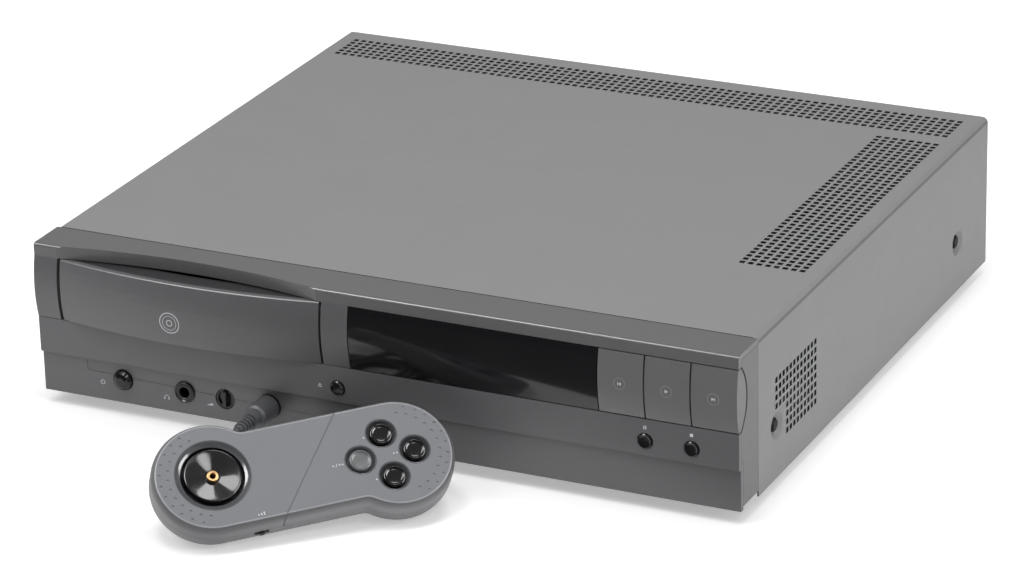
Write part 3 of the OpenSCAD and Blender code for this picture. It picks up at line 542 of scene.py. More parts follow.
def lathe(profile: Sequence[Point2], segments: int) -> BMesh:
    """Turn a closed profile about Z.

    Args:
        profile: Radius and height; a radius of 0 is a pole.
        segments: Steps round the axis.

    Returns:
        The turned solid in metres.
    """
    bm = bmesh.new()
    rings = [ring_at(bm, circle(ORIGIN, radius, segments) if radius else [ORIGIN], height)
             for radius, height in profile]
    if len(rings[0]) > 1 and len(rings[-1]) > 1:
        rings.append(rings[0])
    for pair in zip(rings, rings[1:]):
        pole, ring = sorted(pair, key=len)
        if len(pole) > 1:
            bridge(bm, pair)
            continue
        for i in range(segments):
            bm.faces.new((pole[0], ring[i], ring[(i + 1) % segments]))
    return bm


def thin_solid(bm: BMesh, loops: Shape, front: Place, back: Place) -> None:
    """Add a thin solid bounded by closed loops, the first outside and the others holes.

    Args:
        bm: The mesh to add to.
        loops: Outlines in the surface's own two coordinates.
        front: Place of a point on the shown side.
        back: Place of a point on the hidden side.
    """
    walls = [[[bm.verts.new(place(*p)) for p in loop] for place in (front, back)] for loop in loops]
    for face in (0, 1):
        fill(bm, [wall[face] for wall in walls])
    for wall in walls:
        bridge(bm, wall)


# Marks


def box_loop(x0: float, z0: float, x1: float, z1: float) -> Loop:
    """Rectangle as a loop."""
    return [(x0, z0), (x1, z0), (x1, z1), (x0, z1)]


def ring_loops(radius: float, width: float, count: int) -> Shape:
    """Outer and inner circle of a ring about the origin."""
    return [circle(ORIGIN, radius, count), circle(ORIGIN, radius - width, count)]


class Icon(Enum):
    """Plain marks about the origin, as shapes of an outer loop followed by its holes."""

    PREVIOUS = [[[(1.0, -0.9), (1.0, 0.9), (-0.7, 0.0)]], [box_loop(-1.1, -0.9, -0.75, 0.9)]]
    PLAY = [[[(-0.8, -1.0), (1.1, 0.0), (-0.8, 1.0)]]]
    NEXT = [[[(-1.0, -0.9), (0.7, 0.0), (-1.0, 0.9)]], [box_loop(0.75, -0.9, 1.1, 0.9)]]
    EJECT = [[[(-1.3, 0.1), (1.3, 0.1), (0.0, 1.5)]], [box_loop(-1.3, -0.9, 1.3, -0.35)]]
    PAUSE = [[box_loop(-0.95, -1.1, -0.3, 1.1)], [box_loop(0.3, -1.1, 0.95, 1.1)]]
    STOP = [[box_loop(-1.0, -1.0, 1.0, 1.0)]]
    POWER = [[arc(ORIGIN, 1.4, -230.0, 50.0, 20) + arc(ORIGIN, 1.05, 50.0, -230.0, 20)],
             [box_loop(-0.18, 0.3, 0.18, 1.7)]]
    PHONES = [[arc((0.0, -0.2), 1.5, 0.0, 180.0, 16) + arc((0.0, -0.2), 1.2, 180.0, 0.0, 16)],
              [box_loop(-1.7, -1.2, -0.9, -0.3)], [box_loop(0.9, -1.2, 1.7, -0.3)]]
    LEVEL = [[[(-2.0, -0.5), (2.0, -0.5), (2.0, 0.9)]]]
    DISC = [ring_loops(6.2, 0.5, 64), ring_loops(1.9, 0.45, 40), ring_loops(4.3, 0.25, 56)]
    RING = [ring_loops(3.35, 0.32, 40)]


@dataclass
class Marks:
    """Printed marks that lie on one surface.

    Attributes:
        surface: Y of the surface at a place given by X and Z.
        finish: Ink of the marks.
        ink: How far the ink stands out of the surface and reaches into it.
    """

    surface: Callable[[float, float], float]
    finish: Finish = PRINT_INK
    ink: float = 0.05

    def lay(self, name: str, body: str, marks: Iterable[tuple[Icon, Point2, float]]) -> None:
        """Make one piece out of several marks.

        Args:
            name: Name of the piece.
            body: The body it rides on.
            marks: Icon, X and Z, and scale of each mark.
        """
        bm = bmesh.new()
        for icon, (x, z), scale in marks:
            for loops in icon.value:
                placed = [[(x + scale * u, z + scale * v) for u, v in loop] for loop in loops]
                thin_solid(bm, placed, lambda u, v: at(u, self.surface(u, v) - self.ink, v),
                           lambda u, v: at(u, self.surface(u, v) + self.ink, v))
        dress(solid(bm, name), self.finish, body, "front_plastic")


# Studio


@dataclass(frozen=True)
class Softbox:
    """A square lamp.

    Attributes:
        name: Name of the lamp.
        place: Its place on the drawing.
        aim: Where it points on the drawing.
        width: Its width in metres.
        power: Its power in watts.
        sheen: Whether it only shows in glossy faces.
    """

    name: str
    place: Point3
    aim: Point3
    width: float
    power: float
    sheen: bool = False

    def hang(self) -> None:
        """Make the lamp."""
        data = bpy.data.lights.new(self.name, "AREA")
        data.shape = "SQUARE"
        data.size = self.width
        data.energy = self.power
        made = link_object(self.name, data)
        made.location = at(*self.place)
        made.rotation_mode = "QUATERNION"
        made.rotation_quaternion = (at(*self.aim) - at(*self.place)).to_track_quat("-Z", "Y")
        made.visible_diffuse = not self.sheen


LEFT_PLACE: Point3 = (-800.0, -900.0, 1500.0)
RIGHT_PLACE: Point3 = (1492.0, 157.0, 935.0)
CONSOLE_AIM: Point3 = (0.0, 60.0, 60.0)
SHEEN_AIM: Point3 = (-38.0, -232.0, 35.0)
SOFTBOXES = (
    Softbox("key_softbox", LEFT_PLACE, CONSOLE_AIM, 0.7, 5.0),
    Softbox("overhead_softbox", (-155.0, -391.0, 1775.0), CONSOLE_AIM, 0.5, 8.0),
    Softbox("back_softbox", (264.0, 380.0, 1750.0), (0.0, 100.0, 60.0), 0.5, 8.0),
    Softbox("corner_spot", (826.0, -537.0, 1185.0), (0.0, 0.0, 50.0), 0.22, 1.8),
    Softbox("right_softbox", RIGHT_PLACE, (100.0, 100.0, 50.0), 0.18, 0.6),
    Softbox("left_sheen", LEFT_PLACE, SHEEN_AIM, 0.9, 40.0, True),
    Softbox("right_sheen", RIGHT_PLACE, SHEEN_AIM, 0.9, 40.0, True),
)


@dataclass
class Studio:
    """Camera, floor and soft light.

    Attributes:
        eye: Camera's place on the drawing.
        yaw: Camera's turn to the left of straight back, in degrees.
        pitch: Camera's tilt down, in degrees.
        roll: Camera's roll, in degrees.
        sensor: Width of the sensor.
        lens: Focal length.
        sky: Strength of the even light from all sides.
        paper: Share of light that the floor gives back.
        paper_glow: Light of the pale floor, which is lit from below as a light table is.
        floor_half: Half the floor's width in metres.
        floor_drop: How far the floor lies below the feet, in metres.
        flag_line: X and Y of the black panels' ends.
        flag_top: Height of the black panels.
        table: X and Y of the dark table's corners.
        table_z: Height of the dark table.
    """

    eye: Point3 = (1002.4, -1888.3, 988.6)
    yaw: float = 25.98
    pitch: float = 22.55
    roll: float = -1.56
    sensor: float = 36.0
    lens: float = 153.31
    sky: float = 0.45
    paper: float = 0.93
    paper_glow: float = 0.35
    floor_half: float = 6.0
    floor_drop: float = 0.0002
    flag_line: tuple[Point2, ...] = ((-2650.0, -1582.0), (650.0, -3018.0), (3000.0, -1900.0))
    flag_top: float = 1520.0
    table: tuple[Point2, ...] = (
        (-2345.0, -1237.0), (600.0, 174.0), (2026.0, -2802.0), (-919.0, -4213.0))
    table_z: float = 0.2

    def build(self) -> None:
        """Make the camera, the floor, the surroundings, the dark panels and the lamps."""
        self.camera()
        self.floor()
        self.surroundings()
        self.flags()
        self.dark_table()
        for softbox in SOFTBOXES:
            softbox.hang()

    def camera(self) -> None:
        """Aim the camera as the photograph was taken."""
        yaw, pitch, roll = (math.radians(a) for a in (self.yaw, self.pitch, self.roll))
        data = bpy.data.cameras.new("camera")
        data.sensor_width, data.lens = self.sensor, self.lens
        data.clip_start, data.clip_end = 0.05, 50.0
        made = link_object("camera", data)
        look = Matrix.Rotation(math.pi / 2 - pitch, 4, "X") @ Matrix.Rotation(roll, 4, "Z")
        place = Matrix.Translation(at(*self.eye)) @ Matrix.Rotation(yaw, 4, "Z")
        made.matrix_world = place @ look
        bpy.context.scene.camera = made

    def floor(self) -> None:
        """Lay a wide pale floor under the object."""
        bm = bmesh.new()
        bmesh.ops.create_grid(bm, x_segments=1, y_segments=1, size=self.floor_half)
        made = sheet(bm, "floor")
        made.location.z = -self.floor_drop
        paper = bpy.data.materials.new("floor_paper")
        paper.use_nodes = True
        feed(paper.node_tree, paper.node_tree.nodes["Principled BSDF"], {
            "Base Color": (self.paper, self.paper, self.paper, 1.0), "Roughness": 0.9,
            "Specular IOR Level": 0.1, "Emission Color": WHITE,
            "Emission Strength": self.paper_glow})
        made.data.materials.append(paper)

    def surroundings(self) -> None:
        """White to the camera, and a soft even light for the rest."""
        world = bpy.data.worlds.new("studio")
        world.use_nodes = True
        bpy.context.scene.world = world
        tree = world.node_tree
        lit = tree.nodes["Background"]
        feed(tree, lit, {"Color": WHITE, "Strength": self.sky})
        seen = add_node(tree, "ShaderNodeBackground", {"Color": WHITE, "Strength": 1.0})
        rays = add_node(tree, "ShaderNodeLightPath", {})
        mix = add_node(tree, "ShaderNodeMixShader", {
            "Fac": rays["Is Camera Ray"], 1: lit.outputs["Background"], 2: seen["Background"]})
        feed(tree, tree.nodes["World Output"], {"Surface": mix["Shader"]})
        bpy.context.scene.view_settings.view_transform = "Standard"

    @staticmethod
    def panel(name: str, corners: Iterable[Vector]) -> Object:
        """Make a black panel of the stage that the camera does not see.

        Args:
            name: Name of the panel.
            corners: Its corners in order, in metres.

        Returns:
            The panel.
        """
        bm = bmesh.new()
        bm.faces.new([bm.verts.new(c) for c in corners])
        made = sheet(bm, name)
        made.visible_camera = False
        paint(made, BLACK_PLASTIC)
        return made

    def flags(self) -> None:
        """Stand black panels on the floor where they darken the light from the front."""
        foot, top, line = 1.0, self.flag_top, self.flag_line
        for name, start, end in zip(("left_flag", "right_flag"), line, line[1:]):
            self.panel(name, [at(*start, foot), at(*end, foot), at(*end, top), at(*start, top)])

    def dark_table(self) -> None:
        """Dark table in front, which only shows in the window and other glossy faces."""
        made = self.panel("dark_table", [at(*corner, self.table_z) for corner in self.table])
        made.visible_diffuse = False
        made.visible_shadow = False


# Cord


@dataclass
class Cord:
    """The controller's cord: out of the plug, over the table, wound up and into the controller.

    Attributes:
        diameter: Diameter of the cord.
        centre: Middle of the coil, X and Y.
        outer: Radius of the outermost turn.
        pitch: Distance between turns and between layers.
        layers: Layers of the coil.
        turns: Turns in all.
        height: Height of the first layer's middle.
        lead: Places along the cord from the plug to the coil.
        tail: Places along the cord from the coil to the controller.
        tie_turn: Where the tie sits round the coil, in degrees.
        tie_half: Half the tie's width.
        tie_thick: Thickness of the tie.
        tie_corner: Inner radius of the tie's corners.
        tie_gap: Room between the coil and the tie.
    """

    diameter: float = 4.0
    centre: Point2 = (-25.0, -37.0)
    outer: float = 27.5
    pitch: float = 5.0
    layers: int = 4
    turns: float = 10.5
    height: float = 2.1
    lead: tuple[Point3, ...] = (
        (-67.8, -34.0, 21.4), (-67.8, -38.0, 21.4), (-67.8, -46.0, 19.5), (-67.6, -54.0, 14.5),
        (-67.0, -61.0, 8.0), (-65.5, -67.0, 3.6), (-62.0, -72.5, 2.1), (-56.5, -76.0, 2.1),
        (-50.0, -76.0, 2.1), (-43.0, -72.5, 2.1), (-38.0, -66.5, 2.1), (-33.0, -64.5, 2.1),
        (-29.0, -64.5, 2.1))
    tail: tuple[Point3, ...] = (
        (-29.0, -9.5, 17.1), (-33.0, -9.5, 17.1), (-38.5, -11.5, 18.0), (-43.0, -15.5, 19.6),
        (-45.6, -21.0, 21.2), (-45.0, -27.0, 22.4), (-41.2, -33.0, 23.0), (-35.8, -39.4, 24.0),
        (-30.75, -45.9, 25.8), (-27.75, -49.5, 27.55))
    tie_turn: float = 60.0
    tie_half: float = 4.0
    tie_thick: float = 0.4
    tie_corner: float = 2.0
    tie_gap: float = 0.5

    def coil_point(self, turns: float) -> Point3:
        """Place on the coil, which winds in and out and climbs at each reversal.

        Args:
            turns: Turns from the start of the coil.

        Returns:
            The place on the drawing.
        """
        layer = self.turns / self.layers
        swing = abs((turns + layer) % (2.0 * layer) - layer)
        radius = self.outer - self.pitch * swing
        climbs = sum(min(1.0, max(0.0, (turns - k * layer) / 0.5 + 0.5))
                     for k in range(1, self.layers))
        angle = math.radians(270.0 + 360.0 * turns)
        return (self.centre[0] + radius * math.cos(angle),
                self.centre[1] + radius * math.sin(angle), self.height + self.pitch * climbs)

    def route(self) -> list[Vector]:
        """Points along the whole cord.

        Returns:
            Points in metres, from the plug to the controller.
        """
        steps = int(self.turns * 40)
        coil = [at(*self.coil_point(self.turns * i / steps)) for i in range(steps + 1)]
        return self.smooth(self.lead) + coil + self.smooth(self.tail)

    @staticmethod
    def smooth(places: Iterable[Point3]) -> list[Vector]:
        """Smooth curve through some places.

        Args:
            places: Places on the drawing.

        Returns:
            Points in metres, four to a stretch.
        """
        points = [at(*place) for place in places]
        ends = [points[0] * 2 - points[1]] + points + [points[-1] * 2 - points[-2]]
        made = []
        for a, b, c, d in zip(ends, ends[1:], ends[2:], ends[3:]):
            square, cube = 2 * a - 5 * b + 4 * c - d, 3 * b - a - 3 * c + d
            for t in (0.0, 0.25, 0.5, 0.75):
                made.append(0.5 * (2 * b + (c - a) * t + square * t * t + cube * t ** 3))
        return made + [points[-1]]

    def build(self) -> None:
        """Make the cord and its tie."""
        route = self.route()
        data = bpy.data.curves.new("controller_cord", "CURVE")
        data.dimensions = "3D"
        data.bevel_depth = self.diameter / 2 * MM
        data.bevel_resolution = 5
        data.use_fill_caps = True
        spline = data.splines.new("POLY")
        spline.points.add(len(route) - 1)
        for point, place in zip(spline.points, route):
            point.co = (*place, 1.0)
        made = link_object("controller_cord", data)
        dress(made, CORD_RUBBER, CONSOLE, "cord", "cord_lead", "cord_coil", "cord_tail")
        tie = self.tie()

    def tie(self) -> Object:
        """Strap round the coil's bundle on the side towards the console.

        Returns:
            The strap.
        """
        room, corner = self.diameter / 2 + self.tie_gap, self.tie_corner
        slack, lift, spread = 0.4, 0.4, 0.3
        inner = self.outer - self.pitch * self.turns / self.layers - room - slack
        outer = self.outer + room
        top = self.height + self.pitch * (self.layers - 1) + room
        angle = math.radians(self.tie_turn)
        out = Vector((math.cos(angle), math.sin(angle), 0.0))
        along = Vector((-math.sin(angle), math.cos(angle), 0.0))
        middle = at(*self.centre, 0.0)

        def section(grow: float) -> Loop:
            """Outline of the strap.

            Args:
                grow: Outward shift from its inner face.

            Returns:
                Radius and height round the bundle.
            """
            low = lift - grow * spread
            return (arc((inner + corner, top - corner), corner + grow, 180.0, 90.0, 5)
                    + arc((outer - corner, top - corner), corner + grow, 90.0, 0.0, 5)
                    + [(outer + grow, low), (inner - grow, low)])

        bm = bmesh.new()
        thick, half = self.tie_thick, self.tie_half
        rings = []
        for grow, shift in ((0.0, -half), (thick, -half), (thick, half), (0.0, half)):
            rings.append([bm.verts.new(
                middle + (out * r + along * shift) * MM + Vector((0.0, 0.0, h * MM)))
                for r, h in section(grow)])
        bridge(bm, rings + rings[:1])
        return dress(solid(bm, "cord_tie"), BLACK_PLASTIC, CONSOLE, "cord")


# Cover


@dataclass
class Cover:
    """Folded cover with punched square vents and pressed screw dimples.

    A row of vents is given by its first middle and its count.

    Attributes:
        half: Half the width.
        top: Height of the top.
        foot: Height of the lower edges.
        front: Y of the front edge.
        rear: Y of the rear edge.
        bend: Radius of the folds.
        fold_dark: Share of that radius, from the top, below which the fold gets painted shade.
        sheet: Thickness of the sheet.
        pitch: Distance between vents.
        vent: Width of a vent.
        rear_columns: X of the vents in the rear strip.
        rear_rows: Y of the vents in the rear strip.
        right_rows: Y of the vents in the strip along the right of the top.
        right_from: X at which that strip begins.
        side_columns: Y of the vents in the right side.
        side_rows: Z of the vents in the right side.
        blank: Y and Z below which the right side has no vents, round a screw.
        screw_y: Y of the side screws.
        screw_z: Height of the side screws.
        dimple: Half the width of the square that a dimple fills.
        dimple_section: Radius and depth of the rings in a dimple.
        pan_half: Half the width of the rear panel.
        panel: Y of the rear panel's inner face.
        panel_thick: Thickness of the rear panel.
    """

    half: float = 210.0
    top: float = 97.0
    foot: float = 6.5
    front: float = 26.0
    rear: float = 377.5
    bend: float = 3.5
    fold_dark: float = 0.6
    sheet: float = 0.8
    pitch: float = 5.0
    vent: float = 3.15
    rear_columns: tuple[float, int] = (-197.5, 80)
    rear_rows: tuple[float, int] = (339.0, 6)
    right_rows: tuple[float, int] = (119.0, 42)
    right_from: float = 160.0
    side_columns: tuple[float, int] = (51.0, 12)
    side_rows: tuple[float, int] = (28.2, 8)
    blank: Point2 = (64.0, 45.0)
    screw_y: tuple[float, float] = (51.2, 328.0)
    screw_z: float = 37.0
    dimple: float = 9.0
    dimple_section: tuple[Point2, ...] = (
        (8.4, 0.0), (8.0, 0.12), (5.4, 2.2), (4.9, 2.45), (2.3, 2.5))
    pan_half: float = 206.0
    panel: float = 369.0
    panel_thick: float = 1.2

    def centres(self, row: tuple[float, int]) -> list[float]:
        """Middles of a row of vents."""
        return [row[0] + self.pitch * i for i in range(row[1])]

    def edges(self, *rows: tuple[float, int]) -> list[float]:
        """Both edges of each vent."""
        return [c + s * self.vent / 2 for row in rows for c in self.centres(row) for s in (-1, 1)]

    def in_vents(self, u: float, columns: tuple[float, int], v: float,
                 rows: tuple[float, int]) -> bool:
        """Whether a place lies in a vent of some columns and rows."""
        return all(any(abs(value - c) < self.vent / 2 for c in self.centres(row))
                   for value, row in ((u, columns), (v, rows)))

    def stations(self) -> list[tuple[str, float, float, float]]:
        """Places across the folded sheet, from the left foot to the right one.

        Returns:
            Wall, the wall's own coordinate, X and Z of each place.
        """
        side, shoulder = self.half - self.bend, self.top - self.bend
        heights = (self.foot, self.screw_z - self.dimple, self.screw_z + self.dimple, shoulder)
        made = [("left", z, -self.half, z) for z in heights]
        bend = arc((-side, shoulder), self.bend, 180.0, 90.0, 6)
        made += [("fold", 0.0, x, z) for x, z in bend[1:-1]]
        made += [("top", x, x, self.top) for x in (-side, *self.edges(self.rear_columns), side)]
        bend = arc((side, shoulder), self.bend, 90.0, 0.0, 6)
        made += [("fold", 0.0, x, z) for x, z in bend[1:-1]]
        levels = sorted({*heights, *self.edges(self.side_rows)}, reverse=True)
        return made + [("right", z, self.half, z) for z in levels]

    def lengths(self) -> list[float]:
        """Places along the sheet's grid.

        Returns:
            Y values in order.
        """
        dimples = [y + s * self.dimple for y in self.screw_y for s in (-1, 1)]
        rows = self.edges(self.rear_rows, self.right_rows, self.side_columns)
        return sorted({self.front, self.rear, *dimples, *rows})

    def is_open(self, wall: str, across: float, y: float) -> bool:
        """Whether the middle of a cell is punched out.

        Args:
            wall: left, fold, top or right.
            across: X on the top, Z on a side.
            y: Y of the cell.

        Returns:
            True where there is no sheet.
        """
        if wall == "top":
            rear = self.in_vents(across, self.rear_columns, y, self.rear_rows)
            return rear or (across > self.right_from
                            and self.in_vents(across, self.rear_columns, y, self.right_rows))
        if wall == "fold":
            return False
        if abs(across - self.screw_z) < self.dimple:
            if any(abs(y - screw) < self.dimple for screw in self.screw_y):
                return True
        blank = y < self.blank[0] and across < self.blank[1]
        return (wall == "right" and not blank
                and self.in_vents(y, self.side_columns, across, self.side_rows))

    def build(self) -> None:
        """Make the sheet, press the dimples and give it its thickness."""
        stations, lengths = self.stations(), self.lengths()
        dark_below = self.top - self.fold_dark * self.bend
        bm = bmesh.new()
        made: dict[tuple[int, int], Vert] = {}

        def corner(i: int, j: int) -> Vert:
            """Corner of the sheet's grid.

            Args:
                i: Index of the station.
                j: Index of the length.

            Returns:
                The vertex, made on first use.
            """
            if (i, j) not in made:
                made[i, j] = bm.verts.new(at(stations[i][2], lengths[j], stations[i][3]))
            return made[i, j]

        for i, (here, there) in enumerate(zip(stations, stations[1:])):
            wall = here[0] if here[0] == there[0] else "fold"
            # The lower part of each fold takes material 2, the cover paint darkened as painted
            # shade.
            dark = wall == "fold" and (here[3] + there[3]) / 2 < dark_below
            for j in range(len(lengths) - 1):
                y = (lengths[j] + lengths[j + 1]) / 2
                if not self.is_open(wall, (here[1] + there[1]) / 2, y):
                    face = bm.faces.new((corner(i, j), corner(i + 1, j), corner(i + 1, j + 1),
                                         corner(i, j + 1)))
                    face.material_index = 2 if dark else 0
        for wall in ("left", "right"):
            side = -1.0 if wall == "left" else 1.0
            rows = [i for i, station in enumerate(stations)
                    if station[0] == wall and self.near(station[1], self.screw_z)]
            for screw in self.screw_y:
                columns = [j for j, y in enumerate(lengths) if self.near(y, screw)]
                rim = ([(rows[0], j) for j in columns] + [(i, columns[-1]) for i in rows[1:]]
                       + [(rows[-1], j) for j in reversed(columns[:-1])]
                       + [(i, columns[0]) for i in reversed(rows[1:-1])])
                self.press_dimple(bm, [made[k] for k in rim], side, screw)
        bmesh.ops.recalc_face_normals(bm, faces=bm.faces)
        if sum(f.normal.z for f in bm.faces) < 0:
            bmesh.ops.reverse_faces(bm, faces=bm.faces)
        cover = sheet(bm, "vented_cover")
        thicken = cover.modifiers.new("sheet", "SOLIDIFY")
        thicken.thickness = self.sheet * MM
        thicken.offset = -1.0
        # Inner faces and cut rims, the vents' walls among them, take the near-black painted shade.
        thicken.material_offset = thicken.material_offset_rim = 1
        paint(cover, COVER_PAINT, COVER_INSIDE_PAINTED_SHADE, FOLD_PAINTED_SHADE, COVER_INSIDE_PAINTED_SHADE)
        settle(cover)
        dress(cover, None, CONSOLE, "cover_steel", "top_cover")
        self.rear_strips()

    def near(self, value: float, screw: float) -> bool:
        """Whether a grid line touches the square round a screw."""
        return abs(value - screw) <= self.dimple + 1e-6

    def press_dimple(self, bm: BMesh, rim: Ring, side: float, screw: float) -> None:
        """Fill a square gap in a side with a conical dimple.

        Args:
            bm: The sheet.
            rim: Vertices round the gap.
            side: 1 on the right, -1 on the left.
            screw: Y of the screw.
        """
        centre = at(0.0, screw, self.screw_z)
        turns = [math.atan2(v.co.z - centre.z, v.co.y - centre.y) for v in rim]
        rings = [rim]
        for radius, depth in self.dimple_section:
            rings.append([bm.verts.new(at(
                side * (self.half - depth), screw + radius * math.cos(a),
                self.screw_z + radius * math.sin(a))) for a in turns])
        bridge(bm, rings)

    def rear_strips(self) -> None:
        """Chamfered strips that close the gaps between the cover's sides and the rear panel."""
        gap, chamfer, lift = 0.05, 0.3, 1.5
        inner, outer = self.pan_half + gap, self.half - self.sheet - gap
        front, back = self.panel, self.panel + self.panel_thick
        section = [(inner, front), (outer, front), (outer, back - chamfer), (outer - chamfer, back),
                   (inner + chamfer, back), (inner, back - chamfer)]
        low, high = self.foot + lift, self.top - self.bend
        bm = bmesh.new()
        for side in (-1.0, 1.0):
            thin_solid(bm, [section], lambda x, y: at(side * x, y, low),
                       lambda x, y: at(side * x, y, high))
        dress(solid(bm, "rear_strips"), COVER_PAINT, CONSOLE, "cover_steel")


# Console front


@dataclass
class Fascia:
    """Marks and trim of the console's front.

    Attributes:
        band_mid: Height of the middle of the bulged band.
        band_half: Half the band's height.
        bulge: How far the band bulges forward.
        bow: How far the drawer bows forward in plan.
        drawer_mid: X of the drawer's middle.
        drawer_half: Half the drawer's width.
        step: Y of the lowest band.
        rim: Width of the drawer's upper rim, in front of the finger recess.
        recess: Distance from the drawer's front to the back of the finger recess.
        recess_end: Y that the finger recess does not pass.
        recess_depth: Height of the shelf in the finger recess.
        nut_at: X and Z of the phones jack.
        nut_proud: How far the nut's middle stands out of the lowest band.
        nut_section: Radius and height of the nut's outline.
        drawer_marks: Marks on the drawer.
        key_marks: Icon, key and X of the wide keys' marks.
        key_z: Height of the wide keys' marks.
        button_marks: Marks beside the round buttons.
        socket_marks: Marks in the lowest band.
    """

    band_mid: float = 71.45
    band_half: float = 18.15
    bulge: float = 2.2
    bow: float = 8.0
    drawer_mid: float = -113.2
    drawer_half: float = 80.3
    step: float = 2.2
    rim: float = 3.25
    recess: float = 15.0
    recess_end: float = 9.4
    recess_depth: float = 5.0
    nut_at: Point2 = (-120.3, 21.0)
    nut_proud: float = 0.8
    nut_section: tuple[Point2, ...] = (
        (3.3, -0.9), (3.3, -0.3), (3.7, 0.1), (4.2, 0.2), (4.6, 0.05), (4.75, -0.15), (4.9, 0.15),
        (5.3, 0.4), (5.8, 0.4), (6.1, 0.2), (6.22, -0.2), (6.22, -0.9))
    drawer_marks: tuple = ((Icon.DISC, (-120.5, 66.8), 1.0),)
    key_marks: tuple = ((Icon.PREVIOUS, "previous", 143.6), (Icon.PLAY, "play", 170.2),
                        (Icon.NEXT, "next", 196.6))
    key_z: float = 71.7
    button_marks: tuple = ((Icon.EJECT, (-34.5, 40.3), 1.0), (Icon.PAUSE, (156.9, 48.2), 0.9),
                           (Icon.STOP, (183.3, 48.2), 0.9))
    socket_marks: tuple = ((Icon.POWER, (-172.5, 18.5), 1.0), (Icon.PHONES, (-132.0, 16.0), 1.0),
                           (Icon.LEVEL, (-105.0, 16.2), 1.0))

    def bow_radius(self) -> float:
        """Radius of the drawer's bow in plan."""
        return (self.drawer_half ** 2 + self.bow ** 2) / (2 * self.bow)

    def band_y(self, _x: float, z: float) -> float:
        """Y of the bulged band."""
        radius = (self.band_half ** 2 + self.bulge ** 2) / (2 * self.bulge)
        return radius - self.bulge - math.sqrt(radius ** 2 - (z - self.band_mid) ** 2)

    def drawer_y(self, x: float, z: float) -> float:
        """Surface of the drawer's bowed front.

        Args:
            x: X on the drawing.
            z: Height.

        Returns:
            Y of the surface.
        """
        radius = self.bow_radius()
        reach = radius + self.bulge * (1 - ((z - self.band_mid) / self.band_half) ** 2)
        return radius - self.bow - math.sqrt(reach ** 2 - (x - self.drawer_mid) ** 2)

    def build(self) -> None:
        """Print the marks and add the nut and the finger shelf."""
        Marks(self.drawer_y).lay("drawer_mark", "drawer", self.drawer_marks)
        for icon, key, x in self.key_marks:
            spot, body = (x, self.key_z), f"{key}_body"
            Marks(self.band_y).lay(f"{key}_mark", body, [(icon, spot, 0.95)])
            # Each key's raised ring is paler than the key: a painted highlight on its ridge.
            Marks(self.band_y, EMBOSS_PAINTED_HIGHLIGHT).lay(f"{key}_ring", body, [(Icon.RING, spot, 1.0)])
        Marks(lambda x, z: 0.0).lay("button_marks", CONSOLE, self.button_marks)
        Marks(lambda x, z: self.step).lay("socket_marks", CONSOLE, self.socket_marks)
        self.phones_nut()
        self.finger_shelf()

    def finger_shelf(self) -> None:
        """Floor of the finger recess behind the drawer's upper rim, falling a little backward, in a
        darker tone that paints the recess's shade.
        """
        count, fall, full_run, gap, rim_drop = 48, 0.05, 8.8, 0.05, 0.33
        radius = self.bow_radius()
        front, back, centre = radius - self.rim, radius - self.recess, radius - self.bow
        rim_z = self.band_mid + self.band_half - rim_drop
        bm = bmesh.new()
        rings = []
        for i in range(count + 1):
            dx = (self.drawer_half - gap) * (2 * i / count - 1)
            front_y = centre - math.sqrt(front ** 2 - dx ** 2)
            back_y = min(self.recess_end, centre - math.sqrt(back ** 2 - dx ** 2))
            run = front - math.hypot(dx, centre - back_y)
            drop = self.recess_depth * min(1.0, run / full_run)
            section = ((front_y, rim_z), (back_y, rim_z - fall * run), (back_y, rim_z - drop))
            rings.append([bm.verts.new(at(self.drawer_mid + dx, y, z)) for y, z in section])
        bridge(bm, rings)
        for end in (rings[0], rings[-1]):
            bm.faces.new(end)
        dress(solid(bm, "finger_shelf"), RECESS_PAINTED_SHADE_PLASTIC, "drawer", "front_plastic")

    def phones_nut(self) -> None:
        """Turned nut round the phones jack's hole."""
        made = solid(lathe(self.nut_section, 72), "phones_nut")
        place = at(self.nut_at[0], self.step - self.nut_proud, self.nut_at[1])
        made.matrix_world = Matrix.Translation(place) @ Matrix.Rotation(math.radians(90.0), 4, "X")
        dress(made, CONTROL_PLASTIC, CONSOLE, "dark_plastic")


# Controller


